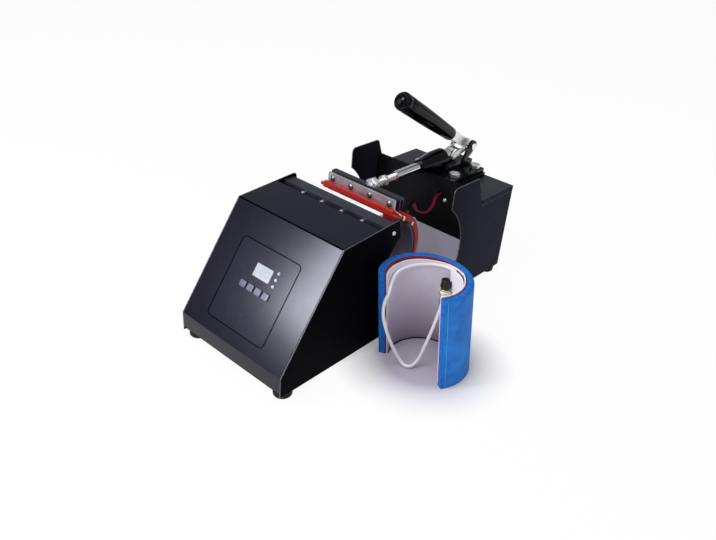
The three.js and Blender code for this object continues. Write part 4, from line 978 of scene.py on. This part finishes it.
def liningSink(values, angle):
    # How far the lining's top lies below the rim at an angle, in mm
    degrees = math.degrees(angle)
    before = values["sink"][0]
    for after in values["sink"]:
        if degrees <= after[0]:
            share = (degrees - before[0]) / max(after[0] - before[0], 1)
            return before[1] + (after[1] - before[1]) * max(eased(share), 0)
        before = after
    return before[1]


def spareBand(values, layer, sinks=False):
    inner, outer, shorter, rounding, back = values[layer]
    start = math.radians(values["from"] + back)
    end = math.radians(values["to"] - back)
    height = values["foot"] + values["height"] / 2
    angles = evenly(start, end, values["steps"]["layers"])
    stations = [spareStation(values, angle, inner, outer, height) for angle in angles]
    mesh = bandMesh(stations, values["height"] - 2 * shorter, rounding, rounding, values["columns"])
    # The cut faces, at the two ends and on top, take the second finish
    middle = place(*values["middle"], 0)
    past, below = values["cut"]
    top = place(0, 0, values["foot"] + values["height"] - shorter - below).z
    for face in mesh.polygons:
        angle = angleAt(face.center, middle, start)
        cut = angle < start + past or angle > end - past or face.center.z > top
        face.material_index = 1 if cut else 0
    if sinks:
        rim = place(0, 0, values["foot"] + values["height"]).z
        for vertex in mesh.vertices:
            angle = angleAt(vertex.co, middle, start)
            near = max(1 - (rim - vertex.co.z) * 1000 / values["sinkOver"], 0)
            vertex.co.z -= liningSink(values, angle) / 1000 * near
    return leaned(mesh, values)


def spareTongue(values, part):
    # A loose strip inside the rim, free at both ends
    height = values["foot"] + values["height"] + part["rise"] - part["drop"] / 2
    waves, rising = values["tongueWave"]
    stations = []
    for share in evenly(0, 1, values["steps"]["tongues"]):
        angle = math.radians(part["from"] + (part["to"] - part["from"]) * share)
        outer = values["lining"][0] - values["tongueGap"] - part["inward"] * eased(share)
        wave = rising * noise.noise(Vector((angle * waves, part["inward"], 0)))
        stations.append(spareStation(values, angle, outer - part["thickness"], outer, height + wave))
    rounding = values["tongueRounding"]
    return leaned(bandMesh(stations, part["drop"], rounding, rounding), values)


def spareAngles(values, back, steps):
    # From one end of the wrap to the other, staying back from both by some degrees
    return [math.radians(degrees) for degrees in evenly(values["from"] + back, values["to"] - back, steps)]


def spareHem(values):
    # The rolled white edge of the lining, a little uneven
    waves, row, sideways, rising = values["hemWave"]
    inner, outer = values["lining"][:2]
    middle = (inner + outer) / 2 - sideways
    top = values["foot"] + values["height"] + values["hemRise"]
    route = []
    for angle in spareAngles(values, values["hemEnds"], values["steps"]["hem"]):
        wave = noise.noise(Vector((angle * waves, row, 0)))
        height = top + rising * wave - liningSink(values, angle)
        route.append(sparePoint(values, middle + sideways * wave, angle, height))
    return leaned(tubeMesh([route], values["hemRadius"], sides=10), values)


def spareFootShade(values):
    # A dark line along the foot of the lining, on the floor: painted shade where the lining meets it
    reach, radius, back = values["footShade"]
    angles = spareAngles(values, back, values["steps"]["footShade"])
    route = [sparePoint(values, reach, angle, values["foot"] + radius) for angle in angles]
    return tubeMesh([route], radius)


def spareSeam(values):
    # A pressed line down the outside, near the front edge, in a lighter blue: painted highlight
    angle = math.radians(values["seamAngle"])
    top = values["foot"] + values["height"]
    ends = values["seamEnds"]
    heights = evenly(values["foot"] + ends, top - ends, values["steps"]["seam"])
    route = [sparePoint(values, values["foam"][1] - values["seamSunk"], angle, height) for height in heights]
    return leaned(tubeMesh([route], values["seamRadius"]), values)


# The foam's cut faces take the darker blue, which on the ends is painted shade
spareFoam = newPiece("spare_foam_shell", spareBand(spareWrap, "foam"), "blueFoam", "blueCut")
heaterMesh = spareBand(spareWrap, "heater")
spareHeater = newPiece("spare_heater", heaterMesh, "heaterLayer", "heaterLayer")
liningMesh = spareBand(spareWrap, "lining", sinks=True)
spareLining = newPiece("spare_lining", liningMesh, "linerCloth", "linerRim")
spareFlap = newPiece("spare_flap", spareTongue(spareWrap, spareWrap["flap"]), "linerRim")
# The tongue paints the shade in the gap between the flap and the lining
gapShadeMesh = spareTongue(spareWrap, spareWrap["tongue"])
spareGapShade = newPiece("spare_inset", gapShadeMesh, "heaterLayer")
spareEdge = newPiece("spare_hem", spareHem(spareWrap), "linerRim")
spareBead = newPiece("spare_seam", spareSeam(spareWrap), "blueSeam")
for piece in (spareFoam, spareHeater, spareLining, spareFlap, spareGapShade):
    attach(piece, "spare")
spareFootShadeLine = newPiece("spare_foot_seam", spareFootShade(spareWrap), "darkSeam")
for piece in (spareEdge, spareBead, spareFootShadeLine):
    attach(piece, "spare")
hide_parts("spare_foam")
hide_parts("spare_liner")
print("spare wrap made")


# Rigid parts: the CAD parts listed in softEdges get small rounded edges, in a piece that stands for each, and
# the plain parts get only a finish
def numbered(stem, count):
    return [f"{stem}_{index}" for index in range(1, count + 1)]


# The parts, their finish, slot and edge width in mm, and the finish of their edges where it is another
softEdges = [
    (["left_side_plate", "right_side_plate"], "blackPlate", "black_plate", 0.45, "plateEdge"),
    (["front_casing"], "casingPaint", "grey_casing", 0.5, "foldEdge"),
    (["front_bulkhead", "base_plate"], "innerPlate", "black_plate", 0.25),
    # The rear slope's pale finish is painted reflection on a black plate
    (["rear_slope"], "slopePaint", "black_plate", 0.25),
    (["rear_wall"], "innerPlate", "black_plate", 0.25),
    # The deck's flanges take the black finish as painted shade
    (["rear_deck"], "deckPaint", "black_plate", 0.35, "blackPlate"),
    (["rear_panel"], "deckPaint", "black_plate", 0.25),
    (["power_inlet", "power_module"], "blackPlastic", "black_plastic", 0.25),
    (["rocker_switch"], "blackPlastic", "black_plastic", 0.3),
    (numbered("foot", 4), "footRubber", "black_rubber", 0.8),
    (["control_fascia"], "fasciaFilm", "dark_fascia", 0.25),
    (["display_window"], "windowClear", "pale_window", 0.2),
    (["fixed_jaw_bar", "moving_jaw_bar"], "jawPaint", "grey_casing", 0.4),
    # The fixed strip's near-white finish is painted reflection
    (["fixed_strip"], "stripEdge", "strip_alloy", 0.6),
    (["moving_strip"], "stripAlloy", "strip_alloy", 1.0, "stripEdge"),
    (["jaw_spindle"], "zincPlate", "bright_steel", 0.3),
    (numbered("spindle_nut", 2), "whiteZinc", "bright_steel", 0.5, "zincPlate"),
    (["plunger_rod"], "chromeRod", "chrome_rod", 0.4),
    (["plunger_pin"], "zincPlate", "bright_steel", 0.3),
    (["clamp_mount_plate"], "clampPaint", "black_plate", 0.4),
    (["clamp_base"], "clampPaint", "black_plate", 0.5),
    (numbered("clamp_bolt", 4), "whiteZinc", "bright_steel", 0.4, "zincPlate"),
    (["clamp_pivot_pin", "link_left", "link_right"], "whiteZinc", "bright_steel", 0.4, "zincPlate"),
    (["handle_lever"], "whiteZinc", "bright_steel", 0.6, "zincPlate"),
    (numbered("button", 4), "buttonGrey", "grey_button", 1.3),
]
plainParts = [
    (["control_board"], "boardGreen"),
    (numbered("fixed_screw", 4), "whiteZinc"),
    (numbered("moving_screw", 4), "darkZinc"),
]
plateCorners = [(284, 161, 6), (338, 161, 4)]  # Y and Z of the corner, and its radius
roundCorners = {"left_side_plate": plateCorners, "right_side_plate": plateCorners}
secondFaces = {  # the faces that take the edge finish too, by the X of their direction
    "left_side_plate": (0, 0.5),
    "right_side_plate": (0, 0.5),
    # On the rear deck these are its side flanges, whose black finish paints the shaded gap under them
    "rear_deck": (0.7, 1.1),
}
softening = {
    "merge": 2e-6,  # metres between points that become one
    "flat": 1.5,  # degrees up to which faces become one
    "cornerReach": 6e-4,  # metres round a corner in which its edge is looked for
    "cornerSteps": 6,
    "edgeFrom": 30,  # degrees from which an edge is rounded
    "edgeSteps": 2,
    "flatWeight": 100,
}


def softenedPiece(values, nodeName, finishName, slotName, width, edgeFinish):
    shape = bmesh.new()
    shape.from_mesh(nodes[nodeName].data)
    bmesh.ops.remove_doubles(shape, verts=shape.verts, dist=values["merge"])
    flat = {"angle_limit": math.radians(values["flat"]), "use_dissolve_boundaries": False}
    bmesh.ops.dissolve_limit(shape, verts=shape.verts, edges=shape.edges, **flat)
    for y, z, radius in roundCorners.get(nodeName, []):
        corner = place(0, y, z)
        reach = values["cornerReach"]
        near = set()
        for end in shape.verts:
            if abs(end.co.y - corner.y) < reach and abs(end.co.z - corner.z) < reach:
                near.add(end)
        across = [edge for edge in shape.edges if near.issuperset(edge.verts)]
        bend = {"profile": 0.5, "affect": "EDGES", "clamp_overlap": True}
        steps = values["cornerSteps"]
        bmesh.ops.bevel(shape, geom=across, offset=radius / 1000, segments=steps, **bend)
    low, high = secondFaces.get(nodeName, (2, 2))
    shape.normal_update()
    for edge in shape.edges:
        edge.smooth = True
    for face in shape.faces:
        face.smooth = True
        face.material_index = 1 if low <= abs(face.normal.x) <= high else 0
    piece = newPiece(nodeName + "_finished", meshFrom(shape), finishName, edgeFinish)
    rounded = piece.modifiers.new("roundedEdges", "BEVEL")
    rounded.width = width / 1000
    rounded.segments = values["edgeSteps"]
    rounded.limit_method = "ANGLE"
    rounded.angle_limit = math.radians(values["edgeFrom"])
    rounded.use_clamp_overlap = True
    rounded.material = 1
    flatter = piece.modifiers.new("flatFaces", "WEIGHTED_NORMAL")
    flatter.mode = "FACE_AREA"
    flatter.weight = values["flatWeight"]
    flatter.keep_sharp = True
    mesh = evaluatedMesh(piece)
    piece.modifiers.clear()
    piece.data = mesh
    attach(piece, nodes[nodeName]["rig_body"])
    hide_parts(nodeName)


for nodeNames, finishName, slotName, width, *edgeFinish in softEdges:
    for nodeName in nodeNames:
        softenedPiece(softening, nodeName, finishName, slotName, width, *(edgeFinish or [finishName]))
for nodeNames, finishName in plainParts:
    for nodeName in nodeNames:
        nodes[nodeName].data.materials.clear()
        nodes[nodeName].data.materials.append(finishes[finishName])
print("rigid parts finished")

# Handle grip: turned, with a bead and a dish at its end
grip = {
    "pivot": (0, 425, 160.6),
    "angle": 149.6,
    "start": 46,
    "profile": [
        (0, 0), (0, 8.1), (0.4, 8.8), (1.2, 9.25), (2.4, 9.4), (12, 9.65), (25, 10.05), (45, 10.7),
        (67, 11.3), (90, 11.6), (112, 11.8), (124, 11.85), (125.1, 11.55), (126.3, 11.55), (127.4, 11.9),
        (130.6, 11.95), (132.3, 11.7), (133.4, 11.1), (133.95, 10.3), (133.95, 9.5), (133.4, 8.9),
        (132.3, 7.4), (131.4, 5), (130.9, 2.5), (130.8, 0),
    ],
    "steps": 56,
}


def makeGrip(values):
    turn = math.radians(values["angle"])
    axis = Vector((0, math.cos(turn), math.sin(turn)))
    foot = place(*values["pivot"]) + values["start"] / 1000 * axis
    return stood(turnedMesh(values["profile"], values["steps"], "soft"), foot, axis)


handleGrip = newPiece("handle_grip_turned", makeGrip(grip), "gripRubber")
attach(handleGrip, "handle")
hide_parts("handle_grip")

# Control panel: dark tubes that paint the shade in the groove round the fascia and along the fold, lamp
# lenses, and plain digits behind the window
panel = {
    "foot": 25.3,
    "angle": 54.895,
    "grooveMiddle": (-2.5, 65.8),
    "grooveSize": (94.5, 100.1),
    "grooveCorner": 5.2,
    "grooveShadeRadius": 0.6,
    "fold": (87.75, 149.15),  # the fold between the slope and the top, whose shade a dark tube paints
    "foldRadius": 1.05,
    "foldHalfWidth": 83,
    "foldSteps": 20,
    "windowMiddle": (-0.6, 88.2),
    "lamps": 3,
    "lampX": 20.7,
    "lampUp": 80.5,
    "lampPitch": 7.9,
    "lampLens": [(0.1, 0), (0.1, 1.85), (0.55, 1.8), (0.95, 1.5), (1.25, 0.85), (1.35, 0)],
    "digits": "180",
    "digitPitch": 6.8,
    "digitSize": (4.2, 8.0),
    "digitOut": 0.05,
    "segment": (0.8, 0.12),  # its width and thickness
    "segmentGap": 1,
    "slant": 0.09,
}
panelAngle = math.radians(panel["angle"])
panelTurn = Matrix.Rotation(panelAngle, 4, "X")  # local X across, local Y up the slope, local Z out of it


def panelPoint(x, up, out=0):
    y = up * math.cos(panelAngle) - out * math.sin(panelAngle)
    return place(x, y, panel["foot"] + up * math.sin(panelAngle) + out * math.cos(panelAngle))


def roundedLoop(middle, size, corner, steps=8):
    route = []
    for signX, signY, start in ((1, 1, 0), (-1, 1, 90), (-1, -1, 180), (1, -1, 270)):
        for degrees in evenly(start, start + 90, steps):
            turn = math.radians(degrees)
            x = middle[0] + signX * (size[0] / 2 - corner) + corner * math.cos(turn)
            up = middle[1] + signY * (size[1] / 2 - corner) + corner * math.sin(turn)
            route.append(panelPoint(x, up))
    return route


def makeShadeLines(values):
    shape = bmesh.new()
    route = roundedLoop(values["grooveMiddle"], values["grooveSize"], values["grooveCorner"])
    outward = (panelPoint(0, 0, 1) - panelPoint(0, 0)).normalized()
    tubeShape(shape, route, values["grooveShadeRadius"], sides=10, closed=True, side=outward)
    half = values["foldHalfWidth"]
    fold = [place(x, *values["fold"]) for x in evenly(-half, half, values["foldSteps"])]
    tubeShape(shape, fold, values["foldRadius"], sides=10)
    return keepMesh(shape, "soft")


def makeLenses(values):
    lens = turnedMesh(values["lampLens"], steps=20)
    lens.transform(panelTurn)
    start = panelPoint(values["lampX"], values["lampUp"])
    step = panelPoint(0, values["lampPitch"]) - panelPoint(0, 0)
    return grown(itemsInRow, "lampClear", {"Count": values["lamps"], "Start": start, "Step": step}, lens)


def makeDigits(values):
    # Seven segments: top, upper right, lower right, foot, lower left, upper left, middle
    lit = {"1": (1, 2), "8": (0, 1, 2, 3, 4, 5, 6), "0": (0, 1, 2, 3, 4, 5)}
    width, height = values["digitSize"]
    places = [  # X, up, and whether it stands upright
        (0, height / 2, 0), (width / 2, height / 4, 1), (width / 2, -height / 4, 1),
        (0, -height / 2, 0), (-width / 2, -height / 4, 1), (-width / 2, height / 4, 1), (0, 0, 0),
    ]
    spots = {0: [], 1: []}
    middleX, middleUp = values["windowMiddle"]
    for index, digit in enumerate(values["digits"]):
        across = middleX + (index - 1) * values["digitPitch"]
        for segment in lit[digit]:
            x, up, upright = places[segment]
            point = panelPoint(across + x + values["slant"] * up, middleUp + up, values["digitOut"])
            spots[upright].append(point)
    thick, deep = values["segment"]
    gap = values["segmentGap"]
    meshes = []
    for upright, size in ((0, (width - gap, thick, deep)), (1, (thick, height / 2 - gap, deep))):
        segment = blockMesh((0, 0, 0), size)
        segment.transform(panelTurn)
        meshes.append(grown(itemsOnPoints, "digitInk", {}, segment, spots[upright]))
    return joinedMesh(meshes)


# These dark tubes paint the shade in the groove round the fascia and along the fold
panelShadeLines = newPiece("fascia_trim", makeShadeLines(panel), "foldEdge")
lampLenses = newPiece("lamp_lenses", makeLenses(panel), "lampClear")
displayDigits = newPiece("display_digits", makeDigits(panel), "digitInk")
for piece in (panelShadeLines, lampLenses, displayDigits):
    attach(piece, "housing")
print("panel finished")

# Small fasteners in rows, and the spindle's thread
fasteners = {
    "head": [(0, 0), (0, 2.7), (0.5, 2.75), (1.1, 2.4), (1.6, 1.7), (1.8, 0.9), (1.35, 0.75), (1.2, 0)],
    "headSteps": 18,
    "sidePlate": [(85, 169, 141.5)],  # on the right plate, and the same on the left
    "wall": [(38, 338, 113)],
    "rearPanel": [(-76, 14), (76, 14), (-76, 108), (76, 108)],  # X and Z
    "moduleFlange": [(-45, 29), (-45, 81)],
    "threadFrom": 233.4,
    "threadTo": 271.6,
    "threadPitch": 1.25,
    "threadRadius": 3.95,
    "threadRidge": 0.42,
}


def screwRow(values, points, axis):
    head = stood(turnedMesh(values["head"], values["headSteps"]), Vector((0, 0, 0)), axis)
    return grown(itemsOnPoints, "whiteZinc", {}, head, points)


def onBackOf(nodeName, points):
    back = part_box(nodeName)[1].y
    return [Vector((place(x, 0, 0).x, back, place(0, 0, z).z)) for x, z in points]


def makeScrews(values):
    # Each row of screws, and the way in which its heads face
    rows = [
        ([place(*point) for point in values["sidePlate"]], (1, 0, 0)),
        ([place(-x, y, z) for x, y, z in values["sidePlate"]], (-1, 0, 0)),
        ([place(*point) for point in values["wall"]], (0, -1, 0)),
        (onBackOf("rear_panel", values["rearPanel"]), (0, 1, 0)),
        (onBackOf("power_inlet", values["moduleFlange"]), (0, 1, 0)),
    ]
    return joinedMesh([screwRow(values, points, axis) for points, axis in rows])


def makeThread(values):
    length = values["threadTo"] - values["threadFrom"]
    settings = {
        "Turns": length / values["threadPitch"],
        "Radius": values["threadRadius"] / 1000,
        "Ridge": values["threadRidge"] / 1000,
        "Length": length / 1000,
    }
    low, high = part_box("jaw_spindle")
    foot = Vector(((low.x + high.x) / 2, place(0, values["threadFrom"], 0).y, (low.z + high.z) / 2))
    return stood(grown(woundThread, "zincPlate", settings), foot, (0, 1, 0))


housingScrews = newPiece("housing_screws", makeScrews(fasteners), "whiteZinc")
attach(housingScrews, "housing")
spindleThread = newPiece("spindle_thread", makeThread(fasteners), "zincPlate")
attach(spindleThread, "plunger")
print("fasteners made")

# Floor and light
studio = {
    "floorSize": 8,
    "floorColour": (0.93, 0.93, 0.94),
    "glow": (0, 0.94, 0.045, 0.11),  # its least and most, and the metres round its middle from and to
    "glowMiddle": (0.087, -0.041, 0),
    # shadeColour is painted shade on the floor inside the spare wrap
    "shadeColour": (0.5, 0.46, 0.53),
    "worldColour": (0.9, 0.93, 1.0),
    "worldLevel": 0.36,
}
lamps = {  # place, aim, size, power and colour
    "panelLamp": ((-0.79, -1.396, 0.822), (-0.056, -0.174, 0.096), 0.42, 17, (0.86, 0.86, 1.0)),
    "frontLamp": ((-0.11, -1.18, 1.44), (0.09, -0.04, 0.06), 1.2, 13.6, (1, 1, 1)),
    "topLamp": ((0.3, 0.2, 2.4), (0, 0, 0), 2.0, 18, (1, 1, 1)),
}


def addFloor(values):
    half = values["floorSize"] / 2
    shape = bmesh.new()
    corners = ((-half, -half, 0), (half, -half, 0), (half, half, 0), (-half, half, 0))
    shape.faces.new([shape.verts.new(corner) for corner in corners])
    floor = addObject("studioFloor", meshFrom(shape))
    finish = bpy.data.materials.new("studioFloor")
    finish.use_nodes = True
    tree = finish.node_tree
    tree.nodes.clear()
    path = addNode(tree, "ShaderNodeLightPath").outputs
    seen = path["Is Camera Ray"]
    for ray in ("Is Glossy Ray", "Is Transmission Ray"):
        seen = reckoned(tree, "ADD", seen, path[ray])
    # The floor's colour is painted darker inside the loose wrap, painted shade that stays there when the wrap
    # is lifted, and the floor turns white outside it
    where = addNode(tree, "ShaderNodeTexCoord").outputs["Object"]
    sockets = {0: where, 1: values["glowMiddle"]}
    away = addNode(tree, "ShaderNodeVectorMath", sockets, operation="DISTANCE").outputs["Value"]
    glowAndShadeShare = spread(tree, away, *values["glow"])
    share = reckoned(tree, "MULTIPLY", seen, glowAndShadeShare, use_clamp=True)
    colour = blendColours(tree, glowAndShadeShare, values["shadeColour"], values["floorColour"])
    matt = addNode(tree, "ShaderNodeBsdfDiffuse", {"Color": colour}).outputs[0]
    glow = addNode(tree, "ShaderNodeEmission", {"Color": (1, 1, 1, 1), "Strength": 1.0}).outputs[0]
    mixed = addNode(tree, "ShaderNodeMixShader", {0: share, 1: matt, 2: glow}).outputs[0]
    addNode(tree, "ShaderNodeOutputMaterial", {"Surface": mixed})
    floor.data.materials.append(finish)


def addLamp(name, spot, aim, size, power, colour):
    lamp = bpy.data.lights.new(name, "AREA")
    lamp.shape = "SQUARE"
    lamp.size = size
    lamp.energy = power
    lamp.color = colour
    turn = (Vector(spot) - Vector(aim)).to_track_quat("Z", "Y").to_matrix().to_4x4()
    addObject(name, lamp).matrix_world = Matrix.Translation(spot) @ turn


def addWorld(values):
    # The background itself is white, and lights the object less
    world = bpy.data.worlds.new("studioWorld")
    world.use_nodes = True
    tree = world.node_tree
    back = tree.nodes["Background"]
    seen = addNode(tree, "ShaderNodeLightPath").outputs["Is Camera Ray"]
    tree.links.new(spread(tree, seen, values["worldLevel"], 1, 0, 1), back.inputs["Strength"])
    tree.links.new(blendColours(tree, seen, values["worldColour"], (1, 1, 1)), back.inputs["Color"])
    bpy.context.scene.world = world


addFloor(studio)
for lampName, lampValues in lamps.items():
    addLamp(lampName, *lampValues)
addWorld(studio)
bpy.context.scene.view_settings.view_transform = "Standard"
print("floor and light set")
